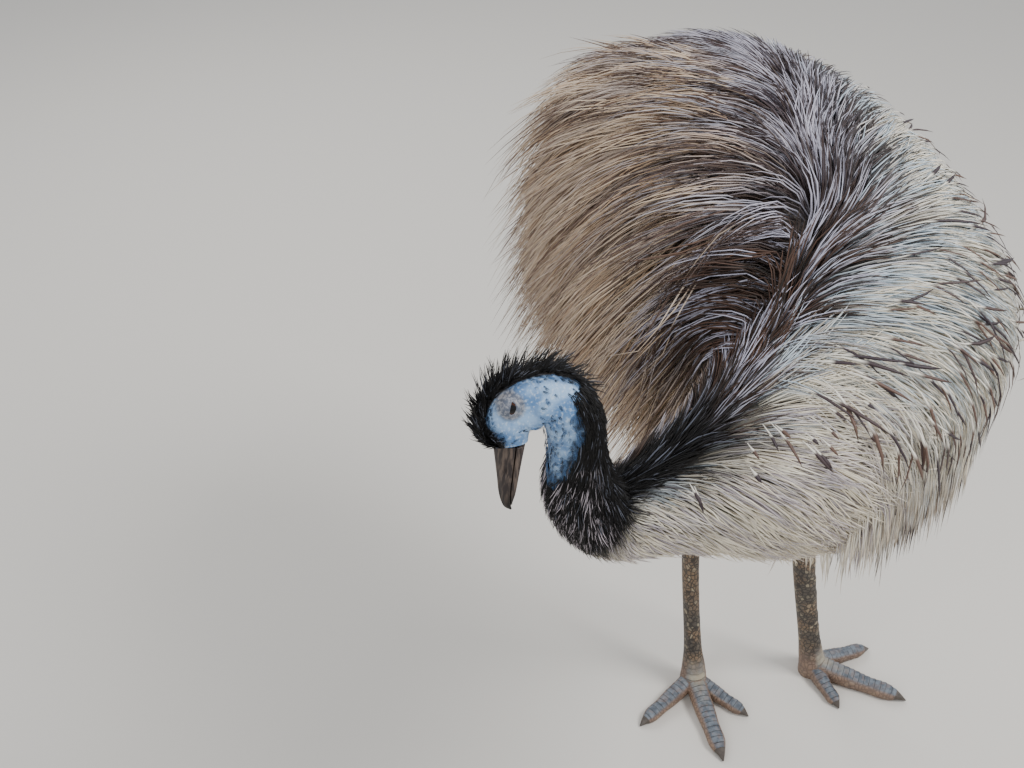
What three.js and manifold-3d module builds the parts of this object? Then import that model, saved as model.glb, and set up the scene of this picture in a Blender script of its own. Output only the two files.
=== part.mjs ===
// A life-size emu, standing with its neck lowered and turned to its right, head bent to the ground.
// Millimetres, +Z up. The bird faces -Y, its left side is +X, and it stands on z = 0.
// The body is one bent form, tail to nape, parted into nodes by thin gaps. Its shaggy coat is
// made of flat, tapered locks that follow the lie of the plumage from the parting on the back.
import * as THREE from "three";
import { mergeVertices } from "three/addons/utils/BufferGeometryUtils.js";
import Module from "manifold-3d";

const wasm = await Module();
wasm.setup();

// Driving dimensions
const GAP = 0.4; // between nodes that touch
const CLEAR = 0.9; // growth of a lock or a neighbour before it cuts another node
const FRAME_SHIFT = [151, 51]; // puts the origin under the trunk, near the middle of the box

// Colours and finishes
const MATERIALS = {
  plumage: { color: 0x8a7a68, roughness: 0.9 },
  neckHair: { color: 0x1a1716, roughness: 0.9 },
  blueSkin: { color: 0x7fa6cc, roughness: 0.7 },
  bill: { color: 0x3a3230, roughness: 0.45 },
  eye: { color: 0x2a1208, roughness: 0.1 },
  scales: { color: 0x6f6252, roughness: 0.75 },
  claw: { color: 0x3c3833, roughness: 0.5 },
};

// Small helpers
const vec = (x, y, z) => new THREE.Vector3(x, y, z);
const lerp = THREE.MathUtils.lerp;

// Seeded draws, so that every build is the same
function dice(seed) {
  let state = seed;
  return () => {
    state = (state * 1664525 + 1013904223) % 4294967296;
    return state / 4294967296;
  };
}

// A smooth curve through rows of numbers, read at t from 0 to rows.length - 1
function rowAt(rows, t) {
  const last = rows.length - 1;
  const i = Math.min(Math.max(Math.floor(t), 0), last - 1);
  const f = t - i;
  const [a, b, c, d] = [i - 1, i, i + 1, i + 2].map((k) => rows[Math.min(Math.max(k, 0), last)]);
  return b.map((_, k) => {
    const m0 = (c[k] - a[k]) / 2;
    const m1 = (d[k] - b[k]) / 2;
    const f2 = f * f;
    const f3 = f2 * f;
    return (2 * f3 - 3 * f2 + 1) * b[k] + (f3 - 2 * f2 + f) * m0 + (3 * f2 - 2 * f3) * c[k] + (f3 - f2) * m1;
  });
}

// A closed solid from rings of points that all have the same count, turning clockwise
// seen from the last ring. A ring of one repeated point makes a tip.
function ringSolid(rings) {
  const sides = rings[0].length;
  const position = [];
  const index = [];
  rings.forEach((ring) => ring.forEach((p) => position.push(p.x, p.y, p.z)));
  for (let r = 0; r + 1 < rings.length; r++)
    for (let i = 0; i < sides; i++) {
      const j = (i + 1) % sides;
      const [a, b, c, d] = [r * sides + i, r * sides + j, (r + 1) * sides + j, (r + 1) * sides + i];
      index.push(a, c, b, a, d, c);
    }
  for (const [ring, turn] of [[0, 0], [rings.length - 1, 1]]) {
    const middle = rings[ring].reduce((m, p) => m.add(p), vec(0, 0, 0)).divideScalar(sides);
    const m = position.length / 3;
    position.push(middle.x, middle.y, middle.z);
    for (let i = 0; i < sides; i++) {
      const [a, b] = [ring * sides + i, ring * sides + ((i + 1) % sides)];
      index.push(...(turn ? [m, b, a] : [m, a, b]));
    }
  }
  const geometry = new THREE.BufferGeometry();
  geometry.setAttribute("position", new THREE.Float32BufferAttribute(position, 3));
  geometry.setIndex(index);
  return toSolid(geometry);
}

function toSolid(geometry) {
  geometry.deleteAttribute("normal");
  geometry.deleteAttribute("uv");
  const merged = mergeVertices(geometry, 1e-4);
  const kept = [];
  for (let i = 0; i < merged.index.count; i += 3) {
    const t = [0, 1, 2].map((k) => merged.index.getX(i + k));
    if (new Set(t).size === 3) kept.push(...t);
  }
  return new wasm.Manifold(
    new wasm.Mesh({
      numProp: 3,
      vertProperties: new Float32Array(merged.attributes.position.array),
      triVerts: new Uint32Array(kept),
    }),
  );
}

const joined = (solids) => wasm.Manifold.union(solids);
const biggest = (solid) => solid.decompose().reduce((a, b) => (a.volume() > b.volume() ? a : b));

const TURN = 0.6; // rows to each side that a ring's direction is taken over, so rings turn evenly
// A bent form: rows of [x, y, z, side, up, down], read at t from the first row to the last.
// An angle is 0 on the back, grows to the bird's left and is pi underneath.
class Form {
  constructor(rows, backs, square = 1) {
    this.rows = rows;
    this.backs = backs;
    this.square = square;
    this.end = rows.length - 1;
  }
  frame(t) {
    const row = rowAt(this.rows, t);
    const [a, b] = [rowAt(this.rows, Math.max(t - TURN, 0)), rowAt(this.rows, Math.min(t + TURN, this.end))];
    const along = vec(b[0] - a[0], b[1] - a[1], b[2] - a[2]).normalize();
    const hint = vec(...rowAt(this.backs, t));
    const left = hint.clone().cross(along).normalize();
    const back = along.clone().cross(left).normalize();
    return { at: vec(...row.slice(0, 3)), along, left, back, side: row[3], up: row[4], down: row[5] };
  }
  point(t, angle, lift = 0) {
    const f = this.frame(t);
    const [s, c] = [Math.sin(angle), Math.cos(angle)];
    const round = (v) => Math.sign(v) * Math.abs(v) ** this.square;
    return f.at
      .clone()
      .addScaledVector(f.left, round(s) * (f.side + lift))
      .addScaledVector(f.back, round(c) * ((c > 0 ? f.up : f.down) + lift));
  }
  // The point, its outward normal and how it moves along t and round the angle
  surface(t, angle) {
    const e = 0.01;
    const p = this.point(t, angle);
    const alongT = this.point(t + e, angle).sub(this.point(t - e, angle)).divideScalar(2 * e);
    const round = this.point(t, angle + e).sub(this.point(t, angle - e)).divideScalar(2 * e);
    return { p, alongT, round, normal: alongT.clone().cross(round).normalize() };
  }
  // Part of the form as a solid, grown by a margin or ring by ring, and kept above a floor
  solid(from, to, steps, sides, grow = 0, floor = -Infinity) {
    const rings = [];
    for (let i = 0; i <= steps; i++) {
      const t = lerp(from, to, i / steps);
      const lift = typeof grow === "function" ? grow(i) : grow;
      const ring = Array.from({ length: sides }, (_, k) => this.point(t, (k / sides) * 2 * Math.PI, lift));
      ring.forEach((p) => (p.z = Math.max(p.z, floor)));
      rings.push(ring);
    }
    return ringSolid(rings);
  }
}

// Follows the lie of the coat from (t, angle) and returns points, normals and directions
function trace(form, t, angle, length, steps, lie) {
  const path = [];
  let hanging = null;
  let [tt, aa] = [t, angle];
  for (let i = 0; i <= steps; i++) {
    const s = form.surface(tt, aa);
    const down = vec(0, 0, -1);
    const loose = hanging || (i > 0 && (s.normal.z < lie.letGo || tt < lie.end));
    if (loose) {
      if (!hanging) hanging = { p: s.p.clone(), normal: s.normal.clone(), dir: path[i - 1].dir.clone() };
      else {
        hanging.dir.lerp(down, 0.45).normalize();
        hanging.p.addScaledVector(hanging.dir, length / steps);
        hanging.normal.addScaledVector(hanging.dir, -hanging.normal.dot(hanging.dir)).normalize();
      }
      path.push({ t: tt, p: hanging.p.clone(), normal: hanging.normal.clone(), dir: hanging.dir.clone() });
      continue;
    }
    const want = vec(0, 0, 0)
      .addScaledVector(s.alongT.clone().normalize(), -lie.back)
      .addScaledVector(s.round.clone().normalize(), lie.out * Math.sign(aa - lie.parting(tt)))
      .addScaledVector(down, lie.fall);
    want.addScaledVector(s.normal, -want.dot(s.normal)).normalize();
    path.push({ t: tt, p: s.p, normal: s.normal, dir: want });
    const [a, b, c] = [s.alongT.dot(s.alongT), s.alongT.dot(s.round), s.round.dot(s.round)];
    const [u, v] = [want.dot(s.alongT), want.dot(s.round)];
    const det = a * c - b * b;
    const step = length / steps;
    tt += ((c * u - b * v) / det) * step;
    aa += ((a * v - b * u) / det) * step;
    tt = Math.min(Math.max(tt, 0.05), form.end - 0.02);
  }
  return path;
}

// One flat, tapered lock along a traced path, its root sunk into the form. Its section is a low
// ridge over a flat underside.
const LEAST_ADVANCE = 0.25;
const UNDERSIDE = 0.35; // share of the thickness that lies under the path
const TIP_GROWTH = 8; // a slim tip has to grow this many times further along than across
const LOCK_RINGS = [
  // share of length, share of width, share of thickness, share of lift
  [0, 0.7, 1, 0],
  [0.3, 1, 1, 0.4],
  [0.6, 0.9, 0.8, 0.72],
  [0.84, 0.55, 0.6, 0.92],
];
function lockRings(path, size, grow = 0) {
  const steps = path.length - 1;
  const at = (share) => {
    const x = share * steps;
    const i = Math.min(Math.floor(x), steps - 1);
    const f = x - i;
    const [a, b] = [path[i], path[i + 1]];
    return {
      p: a.p.clone().lerp(b.p, f),
      normal: a.normal.clone().lerp(b.normal, f).normalize(),
      dir: a.dir.clone().lerp(b.dir, f).normalize(),
    };
  };
  const rings = LOCK_RINGS.map(([share, wide, thick, lifted], k) => {
    const q = at(share);
    const across = q.dir.clone().cross(q.normal).normalize();
    const lift = k === 0 ? -size.sink : lerp(size.base, size.lift, lifted);
    const middle = q.p.clone().addScaledVector(q.normal, lift);
    if (k === 0) middle.addScaledVector(q.dir, -grow);
    const [flat, slim] = [(size.width * wide) / 2, size.thick * thick];
    const slant = Math.hypot(flat, slim);
    const w = flat + (grow * (slant + flat)) / slim;
    const h = slim + (grow * slant) / flat;
    const under = -slim * UNDERSIDE - grow;
    return [
      middle.clone().addScaledVector(across, w).addScaledVector(q.normal, under),
      middle.clone().addScaledVector(q.normal, h * (1 - UNDERSIDE)),
      middle.clone().addScaledVector(across, -w).addScaledVector(q.normal, under),
    ];
  });
  const q = at(1);
  const tip = q.p.clone().addScaledVector(q.normal, size.lift).addScaledVector(q.dir, TIP_GROWTH * grow);
  rings.push(rings[0].map(() => tip.clone()));
  return rings;
}
const lock = (path, size, grow = 0) => ringSolid(lockRings(path, size, grow));

// Whether a lock bends so sharply that one of its edges would run backwards
function folded(rings) {
  const middle = (ring) => ring.reduce((m, p) => m.add(p), vec(0, 0, 0)).divideScalar(ring.length);
  return rings.slice(1).some((ring, k) => {
    const step = middle(ring).sub(middle(rings[k]));
    const least = LEAST_ADVANCE * step.lengthSq();
    return ring.some((p, i) => p.clone().sub(rings[k][i]).dot(step) < least);
  });
}

// The body, from the tail's end over the back and neck to the bill: x, y, z, side, up, down
const BODY_ROWS = [
  [-140, 276, 882, 13, 13, 13], // end of the tail
  [-120, 250, 900, 90, 86, 104],
  [-105, 166, 906, 136, 142, 156], // rump
  [-89, 34, 906, 166, 163, 188], // hips
  [-88, -112, 901, 169, 153, 188], // middle of the back
  [-106, -230, 892, 155, 126, 176], // shoulders
  [-185, -316, 890, 112, 94, 170],
  [-280, -353, 878, 80, 66, 126], // base of the neck
  [-360, -353, 855, 50, 42, 68],
  [-420, -348, 838, 36, 31, 40], // lowest bend of the neck
  [-453, -347, 872, 29, 29, 29],
  [-463, -349, 925, 24, 24, 24],
  [-470, -353, 968, 24, 24, 24],
  [-483, -347, 988, 25, 25, 21], // hook behind the head
  [-501, -343, 990, 28, 26, 23],
  [-516, -342, 982, 29, 27, 22], // eyes
  [-522, -346, 970, 25, 25, 17],
  [-523, -352, 958, 18, 17, 14], // root of the bill
];
const UP = [0, 0, 1];
const ROLLED = [0.18, 0, 1]; // the trunk leans to the bird's left
const HEAD_LEFT = [-0.151, -0.903, 0.402];
const BODY_BACKS = [
  [0.18, 0.2, 1],
  [0.18, 0.2, 1],
  ...Array(4).fill(ROLLED),
  [0.1, 0, 1],
  [0.05, 0, 1],
  UP,
  [0.6, 0, 0.8],
  [1, 0, 0.2],
  [1, 0, 0],
  [0.95, 0.1, 0.3],
  [0.5, 0.3, 0.8],
  [-0.3, 0.4, 0.85],
  [-0.8, 0.35, 0.5],
  [-0.96, 0.23, 0.2],
  [-0.96, 0.23, 0.16],
];
const body = new Form(BODY_ROWS, BODY_BACKS, 0.92);
const [T_TAIL, T_NECK, T_BEND, T_HEAD] = [1.35, 6.6, 9.3, 12.2];
const afterSeam = (form, t) => t + GAP / form.surface(t, Math.PI / 2).alongT.length();

// The lie of the coat: it parts down the back, spreads back and outwards, then falls
const COAT_LIE = { parting: () => -0.05, back: 0.75, out: 0.75, fall: 1.3, letGo: -0.2, end: 0.75 };
const NECK_LIE = { parting: () => 0, back: 1, out: 0.2, fall: 0.5, letGo: -2, end: 0 };

// A traced path that ends at the hem, or none where its root already lies below it
const LEAST_DROP = 25;
function hung(form, t, angle, length, field, lie) {
  const path = trace(form, t, angle, length, field.steps, lie);
  const hem = field.hem ? field.hem(path[field.steps].p) : -Infinity;
  const [top, tip] = [path[0].p.z, path[field.steps].p.z];
  if (tip >= hem) return path;
  if (top < hem + LEAST_DROP) return null;
  return trace(form, t, angle, (length * (top - hem)) / (top - tip), field.steps, lie);
}

// Locks set in columns across a form and tiers down each side, brickwise
function lockField(form, lie, field, seed) {
  const draw = dice(seed);
  const wander = (amount) => amount * (draw() - 0.5);
  const made = [];
  for (let c = 0; c < field.columns; c++)
    for (const side of [-1, 1])
      for (let k = 0; k < field.tiers; k++) {
        const t = lerp(field.from, field.to, (c + 0.5) / field.columns) + wander(field.stray);
        const brick = c % 2 ? 0.5 : 0;
        const angle = lie.parting(t) + side * (field.first + ((k + brick) * field.spread(t)) / field.tiers);
        const full = field.length * (field.longer ? field.longer(t, side) : 1);
        const length = full * (1 - (field.shorten * k) / field.tiers) + wander(0.2 * field.length);
        const lift = field.size.lift + (side < 0 && field.loft ? field.loft(t) : 0) + wander(0.2 * field.size.lift);
        const path = hung(form, t, angle, length, field, lie);
        if (path) made.push({ t, angle, size: { ...field.size, lift }, path });
      }
  return made.filter((s) => !folded(lockRings(s.path, s.size, CLEAR)));
}
const shapes = (locks, grow = 0) => joined(locks.map((s) => lock(s.path, s.size, grow)));

// Coat of the torso and the tail: it hangs fuller on the bird's right, and longer at the breast
const HEM = { rightOf: -220, right: 725, left: 652, breast: -290, rise: 0.9 };
const COAT = {
  from: 0.8, to: 6.5, columns: 9, tiers: 3, first: 0.07, stray: 0.1,
  spread: (t) => (t < 4.5 ? 1.6 : lerp(1.6, 2.7, (t - 4.5) / 2)),
  length: 205, shorten: 0.4, steps: 12,
  longer: (t, side) => (side < 0 && t > 1.7 ? 1.3 : t > 4.5 ? 1.25 : 1),
  hem: (p) => (p.x < HEM.rightOf ? HEM.right : HEM.left + HEM.rise * Math.max(0, HEM.breast - p.y)),
  loft: (t) => lerp(14, 96, THREE.MathUtils.smoothstep(t, 1, 3.4)),
  size: { width: 88, thick: 10, sink: 12, base: 5, lift: 16 },
};
const BELLY_TUFTS = {
  ...COAT, from: 3.9, to: 6.4, columns: 3, tiers: 2, first: 1.6, spread: () => 1.1, length: 160, shorten: 0,
};
const coat = [...lockField(body, COAT_LIE, COAT, 7), ...lockField(body, COAT_LIE, BELLY_TUFTS, 23)];
const torsoLocks = coat.filter((s) => s.t > T_TAIL + 0.12);
const tailLocks = coat.filter((s) => s.t < T_TAIL - 0.05);

// Hair of the neck, in tufts
const NECK_TUFTS = {
  from: 6.8, to: 9.2, columns: 3, tiers: 3, first: 0.15, spread: () => 2.9, stray: 0.1,
  length: 95, shorten: 0, steps: 6,
  size: { width: 52, thick: 7, sink: 7, base: 2, lift: 14 },
};
const neckLocks = lockField(body, NECK_LIE, NECK_TUFTS, 11);
const NAPE_TUFTS = {
  from: 9.6, to: 12.1, columns: 5, tiers: 2, first: 0.25, spread: () => 1.5, stray: 0.05,
  length: 42, shorten: 0, steps: 4,
  size: { width: 17, thick: 4, sink: 4, base: 2, lift: 11 },
};
const napeLocks = lockField(body, NECK_LIE, NAPE_TUFTS, 13);
const CREST_TUFTS = {
  from: 12.8, to: 16.8, columns: 8, tiers: 1, first: 0.2, spread: () => 0.3, stray: 0.1,
  length: 17, shorten: 0, steps: 3,
  size: { width: 9, thick: 3.5, sink: 3.5, base: 2, lift: 12 },
};
const crestLocks = lockField(body, NECK_LIE, CREST_TUFTS, 17);

// Legs: hip, thigh, hock, shank, ankle, sole; x, y, z, side, front, behind
const LEGS = {
  right: {
    rows: [
      [-162, 0, 800, 58, 80, 85],
      [-160, -12, 690, 58, 78, 84],
      [-146, -15, 605, 50, 64, 68],
      [-124, 5, 515, 38, 46, 48],
      [-103, 30, 440, 26, 28, 32],
      [-95, 38, 392, 21, 25, 28],
      [-92, 31, 355, 15, 18, 20],
      [-88, 12, 230, 13, 17, 18],
      [-80, -8, 100, 14, 17, 18],
      [-77, -17, 48, 19, 20, 20],
      [-77, -21, 20, 22, 24, 19],
      [-77, -21, -8, 20, 22, 17],
    ],
    facing: [-0.2, -0.98, 0],
    toes: { middle: [-99, -172], outer: [-196, -68], inner: [-20, -112] },
  },
  left: {
    rows: [
      [-18, -30, 800, 58, 80, 85],
      [-15, -45, 690, 60, 80, 85],
      [2, -58, 600, 54, 68, 72],
      [18, -58, 515, 38, 46, 48],
      [43, -50, 440, 26, 28, 32],
      [49, -46, 392, 21, 25, 28],
      [57, -48, 355, 15, 18, 20],
      [81, -53, 230, 13, 17, 18],
      [110, -58, 100, 14, 17, 18],
      [122, -60, 48, 19, 20, 20],
      [125, -62, 20, 22, 24, 19],
      [125, -62, -8, 20, 22, 17],
    ],
    facing: [0.73, -0.68, 0],
    toes: { middle: [242, -175], outer: [246, -62], inner: [129, -150] },
  },
};
const [T_HOCK, T_ANKLE] = [4.7, 8.7];
const TOE_SIZES = { middle: 1, outer: 0.85, inner: 0.8 };
const CLAW_SHARE = 0.87;
const FLOOR = 0;

// A toe: share of its length, height of its middle, half width, up, down
const TOE_STATIONS = [
  [0, 24, 17, 15, 36],
  [0.2, 19, 16, 14, 29],
  [0.42, 15, 16, 13, 23],
  [0.6, 12, 14, 11, 18],
  [0.78, 11, 14, 11, 17],
  [CLAW_SHARE, 9, 10, 9, 14],
  [0.92, 7.5, 7, 6, 6],
  [1, 3.2, 1, 1, 1],
];
function toeForm(from, to, size) {
  const rows = TOE_STATIONS.map(([share, height, side, up, down]) => [
    lerp(from[0], to[0], share),
    lerp(from[1], to[1], share),
    height * lerp(1, size, share),
    side * size,
    up * size,
    down * size,
  ]);
  return new Form(rows, rows.map(() => UP));
}
const T_CLAW = TOE_STATIONS.findIndex(([share]) => share === CLAW_SHARE);
const SCUTE = 0.9; // how far every other ring of a toe or shank stands out

// Loose feathers of the thigh, down to the hock
const THIGH_LIE = { parting: () => 0, back: -1, out: 0, fall: 0.3, letGo: -2, end: -1 };
const THIGH_TUFTS = {
  from: 1, to: 3.4, columns: 2, tiers: 2, first: 0.5, spread: () => 2.7, stray: 0.1,
  length: 130, shorten: 0, steps: 4,
  size: { width: 78, thick: 8, sink: 8, base: 2, lift: 14 },
};
function buildLeg(leg) {
  const form = new Form(leg.rows, leg.rows.map(() => leg.facing));
  const locks = lockField(form, THIGH_LIE, THIGH_TUFTS, 19).filter((s) => s.path[THIGH_TUFTS.steps].t < T_HOCK);
  const thigh = joined([form.solid(0, T_HOCK, 8, 16), shapes(locks)]);
  const shank = form.solid(afterSeam(form, T_HOCK), T_ANKLE, 16, 10, (k) => (k % 2 ? SCUTE : 0));
  const ankle = form.solid(afterSeam(form, T_ANKLE), form.end, 4, 12, 0, FLOOR);
  const [x, y] = leg.rows[form.end];
  const toes = [];
  const claws = {};
  for (const [name, tip] of Object.entries(leg.toes)) {
    const toe = toeForm([x, y], tip, TOE_SIZES[name]);
    toes.push(toe.solid(0, T_CLAW, 9, 8, (k) => (k % 2 ? SCUTE : 0), FLOOR));
    claws[name] = toe.solid(afterSeam(toe, T_CLAW), toe.end, 4, 8, 0, FLOOR);
  }
  return { form, thigh, locks, shank, foot: joined([ankle, ...toes]), claws };
}
const legs = Object.fromEntries(Object.entries(LEGS).map(([side, leg]) => [side, buildLeg(leg)]));
const grownThighs = joined(
  Object.values(legs).flatMap((leg) => [leg.form.solid(0, T_HOCK, 8, 16, CLEAR), shapes(leg.locks, CLEAR)]),
);
const coreGrown = body.solid(T_TAIL - 0.02, T_NECK + 0.02, 12, 22, CLEAR);

// Head: a frame at the root of the bill
const headLeft = vec(...HEAD_LEFT).normalize();
const billRoot = vec(...BODY_ROWS[body.end].slice(0, 3));
const billTip = vec(-536, -371, 909);
const headForward = billTip.clone().sub(billRoot).normalize();
const headUp = headForward.clone().cross(headLeft).normalize();
const inHead = (forward, left, up) =>
  billRoot
    .clone()
    .addScaledVector(headForward, forward)
    .addScaledVector(headLeft, left)
    .addScaledVector(headUp, up);

// An ellipsoid in the head's frame: half sizes along forward, left and up
function bead(forward, left, up, half, grow = 0) {
  const geometry = new THREE.SphereGeometry(1, 12, 8);
  geometry.scale(...half.map((h) => h + grow));
  geometry.applyMatrix4(new THREE.Matrix4().makeBasis(headForward, headLeft, headUp));
  const at = inHead(forward, left, up);
  geometry.translate(at.x, at.y, at.z);
  return toSolid(geometry);
}

// The bill: forward, up, half width, rise, fall
const UPPER_BILL = [
  [0.5, -1, 17, 15, 1],
  [14, -1.5, 14, 12.5, 1],
  [30, -2, 10.5, 9.5, 1],
  [44, -2.5, 7.5, 7, 1],
  [54, -4, 4, 4, 1.5],
  [59, -6.5, 0.8, 0.8, 0.8],
];
const LOWER_BILL = [
  [0.5, -3.6, 15, 1, 8],
  [14, -4.1, 12.5, 1, 6.5],
  [30, -4.6, 9, 1, 5],
  [44, -5.1, 6, 1, 4],
  [51, -6.2, 2.8, 0.8, 2],
  [54, -7.4, 0.6, 0.6, 0.6],
];
function billForm(stations) {
  const rows = stations.map(([forward, up, ...size]) => {
    const at = inHead(forward, 0, up);
    return [at.x, at.y, at.z, ...size];
  });
  const back = headUp.toArray();
  return new Form(rows, rows.map(() => back));
}
const nostrils = joined([-1, 1].map((side) => bead(23, side * 10.5, 5.5, [5, 2.5, 2])));
const upperForm = billForm(UPPER_BILL);
const lowerForm = billForm(LOWER_BILL);
const billUpper = upperForm.solid(0, 5, 8, 12).subtract(nostrils);
const billLower = lowerForm.solid(0, 5, 8, 12);
const billGrown = joined([upperForm.solid(0, 5, 8, 12, GAP), lowerForm.solid(0, 5, 8, 12, GAP)]);

// Eyes, with a lid all round each, and the ear openings behind them
const EYE = { forward: -32, out: 20, up: 6, radius: 10.5 };
const LID = { out: 26, radius: 9.6, tube: 2.6, long: 1.12, high: 0.9 };
const EAR = { forward: -57, out: 27, up: -3, half: [5.5, 4, 4] };
function lid(side) {
  const geometry = new THREE.TorusGeometry(LID.radius, LID.tube, 5, 12);
  geometry.scale(LID.long, LID.high, 1);
  // the ring lies in the plane of forward and up
  geometry.applyMatrix4(new THREE.Matrix4().makeBasis(headForward, headUp, headLeft.clone().negate()));
  const at = inHead(EYE.forward, side * LID.out, EYE.up);
  geometry.translate(at.x, at.y, at.z);
  return toSolid(geometry);
}
const eyeball = (side, grow = 0) =>
  bead(EYE.forward, side * EYE.out, EYE.up, Array(3).fill(EYE.radius), grow);
const ears = joined([-1, 1].map((side) => bead(EAR.forward, side * EAR.out, EAR.up, EAR.half)));

// Wings: a stub on each flank with a few slender quills lying along the coat
const WING = { t: 4.75, angle: { left: 1.5, right: -1.85 }, stub: [32, 14, 20], lift: 20 };
const QUILLS = {
  count: 3, fan: 0.2, length: 150, steps: 8,
  size: { width: 24, thick: 5, sink: -20, base: 30, lift: 46 },
};
const WING_LIE = { parting: () => 0, back: 1, out: 0.3, fall: 0.9, letGo: -0.3, end: 0.75 };
function wing(side, grow = 0) {
  const rootAngle = WING.angle[side];
  const middle = (QUILLS.count - 1) / 2;
  const quills = Array.from({ length: QUILLS.count }, (_, k) => {
    const angle = rootAngle + QUILLS.fan * (k - middle) * 0.5 * Math.sign(rootAngle);
    const lie = { ...WING_LIE, fall: WING_LIE.fall + 0.35 * (k - middle) };
    return lock(trace(body, WING.t, angle, QUILLS.length, QUILLS.steps, lie), QUILLS.size, grow);
  });
  const s = body.surface(WING.t, rootAngle);
  const geometry = new THREE.SphereGeometry(1, 12, 8);
  geometry.scale(...WING.stub.map((h) => h + grow));
  const along = s.alongT.clone().normalize();
  const third = along.clone().cross(s.normal).normalize();
  geometry.applyMatrix4(new THREE.Matrix4().makeBasis(along, s.normal, third));
  const at = s.p.clone().addScaledVector(s.normal, WING.lift);
  geometry.translate(at.x, at.y, at.z);
  return joined([toSolid(geometry), ...quills]);
}
const wings = { left: wing("left"), right: wing("right") };
const wingsGrown = joined([wing("left", CLEAR), wing("right", CLEAR)]);

// Cut each node clear of its neighbours
const torsoCore = body.solid(afterSeam(body, T_TAIL), T_NECK, 12, 22);
const neckLowerCore = body.solid(afterSeam(body, T_NECK), T_BEND, 8, 18);
const neckUpperCore = body.solid(afterSeam(body, T_BEND), T_HEAD, 8, 16);
const headCore = body.solid(afterSeam(body, T_HEAD), body.end, 12, 16);

const torso = shapes(torsoLocks)
  .subtract(body.solid(T_NECK, T_BEND, 8, 18, CLEAR))
  .subtract(grownThighs)
  .add(torsoCore)
  .subtract(shapes(neckLocks, CLEAR))
  .subtract(wingsGrown);
const tail = shapes(tailLocks)
  .subtract(coreGrown)
  .add(body.solid(0, T_TAIL, 5, 22))
  .subtract(shapes(torsoLocks, CLEAR));
const neckLower = shapes(neckLocks)
  .subtract(body.solid(T_BEND, T_HEAD, 8, 16, CLEAR))
  .add(neckLowerCore)
  .subtract(shapes(napeLocks, CLEAR));
const neckUpper = shapes(napeLocks)
  .subtract(body.solid(T_HEAD, body.end, 12, 16, CLEAR))
  .add(neckUpperCore)
  .subtract(shapes(crestLocks, CLEAR));
const head = shapes(crestLocks)
  .add(headCore)
  .add(joined([lid(-1), lid(1)]))
  .subtract(joined([eyeball(-1, GAP), eyeball(1, GAP)]))
  .subtract(ears)
  .subtract(billGrown);

// A last cut, for what a bent piece leaves inside its neighbour
const NUDGE = 0.3;
const SLIVER = 0.2; // edges that the cuts leave shorter than this are merged away
const SIX_WAYS = [[1, 0, 0], [-1, 0, 0], [0, 1, 0], [0, -1, 0], [0, 0, 1], [0, 0, -1]];
function clearOf(solid, neighbour) {
  const moved = SIX_WAYS.map((way) => neighbour.translate(way.map((x) => x * NUDGE)));
  return moved.reduce((left, copy) => left.subtract(copy), solid.subtract(neighbour));
}

const tidied = (solid) => biggest(solid).simplify(SLIVER);

// Where a surface meets itself at a corner, the corners that share a place are drawn apart
const PULL = 0.04; // share of the way to the mean of a corner's neighbours
function drawnApart({ vertProperties, triVerts }) {
  const position = new Float32Array(vertProperties);
  const point = (i) => vec(...vertProperties.slice(3 * i, 3 * i + 3));
  const places = new Map();
  for (let i = 0; i < position.length / 3; i++) {
    const key = point(i).multiplyScalar(100).round().toArray().join();
    places.set(key, [...(places.get(key) || []), i]);
  }
  for (const shared of places.values())
    for (const i of shared.length > 1 ? shared : []) {
      const near = [];
      for (let f = 0; f < triVerts.length; f += 3) {
        const corners = triVerts.slice(f, f + 3);
        if (corners.includes(i)) near.push(...corners);
      }
      const mean = near.reduce((m, j) => m.add(point(j)), vec(0, 0, 0)).divideScalar(near.length);
      position.set(point(i).lerp(mean, PULL).toArray(), 3 * i);
    }
  return position;
}

// Gather the nodes
const root = new THREE.Group();
function addNode(name, solid, material) {
  const mesh = biggest(solid).getMesh();
  const geometry = new THREE.BufferGeometry();
  const position = drawnApart(mesh);
  geometry.setAttribute("position", new THREE.BufferAttribute(position, 3));
  geometry.setIndex(new THREE.BufferAttribute(new Uint32Array(mesh.triVerts), 1));
  geometry.computeVertexNormals();
  const node = new THREE.Mesh(geometry, new THREE.MeshStandardMaterial(MATERIALS[material]));
  node.name = name;
  root.add(node);
}
addNode("torso", tidied(clearOf(clearOf(torso, neckLower), joined(Object.values(wings)))), "plumage");
addNode("tail", tidied(clearOf(tail, torso)), "plumage");
addNode("neck_lower", tidied(clearOf(neckLower, neckUpper)), "neckHair");
addNode("neck_upper", tidied(neckUpper), "neckHair");
addNode("head", tidied(head), "blueSkin");
addNode("bill_upper", billUpper, "bill");
addNode("bill_lower", billLower, "bill");
addNode("eye_left", eyeball(1), "eye");
addNode("eye_right", eyeball(-1), "eye");
for (const [side, leg] of Object.entries(legs)) {
  addNode("wing_" + side, tidied(wings[side]), "plumage");
  addNode("thigh_" + side, tidied(leg.thigh.subtract(coreGrown)), "plumage");
  addNode("shank_" + side, leg.shank, "scales");
  addNode("foot_" + side, leg.foot, "scales");
  for (const [toe, claw] of Object.entries(leg.claws)) addNode(`claw_${toe}_${side}`, claw, "claw");
}
root.position.set(FRAME_SHIFT[0], FRAME_SHIFT[1], 0);

export default root;
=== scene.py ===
# %% [markdown]
# An emu stands with its neck lowered and turned to its right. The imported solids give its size,
# stance and outline. This lesson dresses them: one skin under a coat of separate feathers, bare
# blue face, horny bill, glossy eyes and scaly legs.

# %% Load the frame
import math

import bmesh
import bpy
import numpy as np
from mathutils import Matrix, Vector


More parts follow.
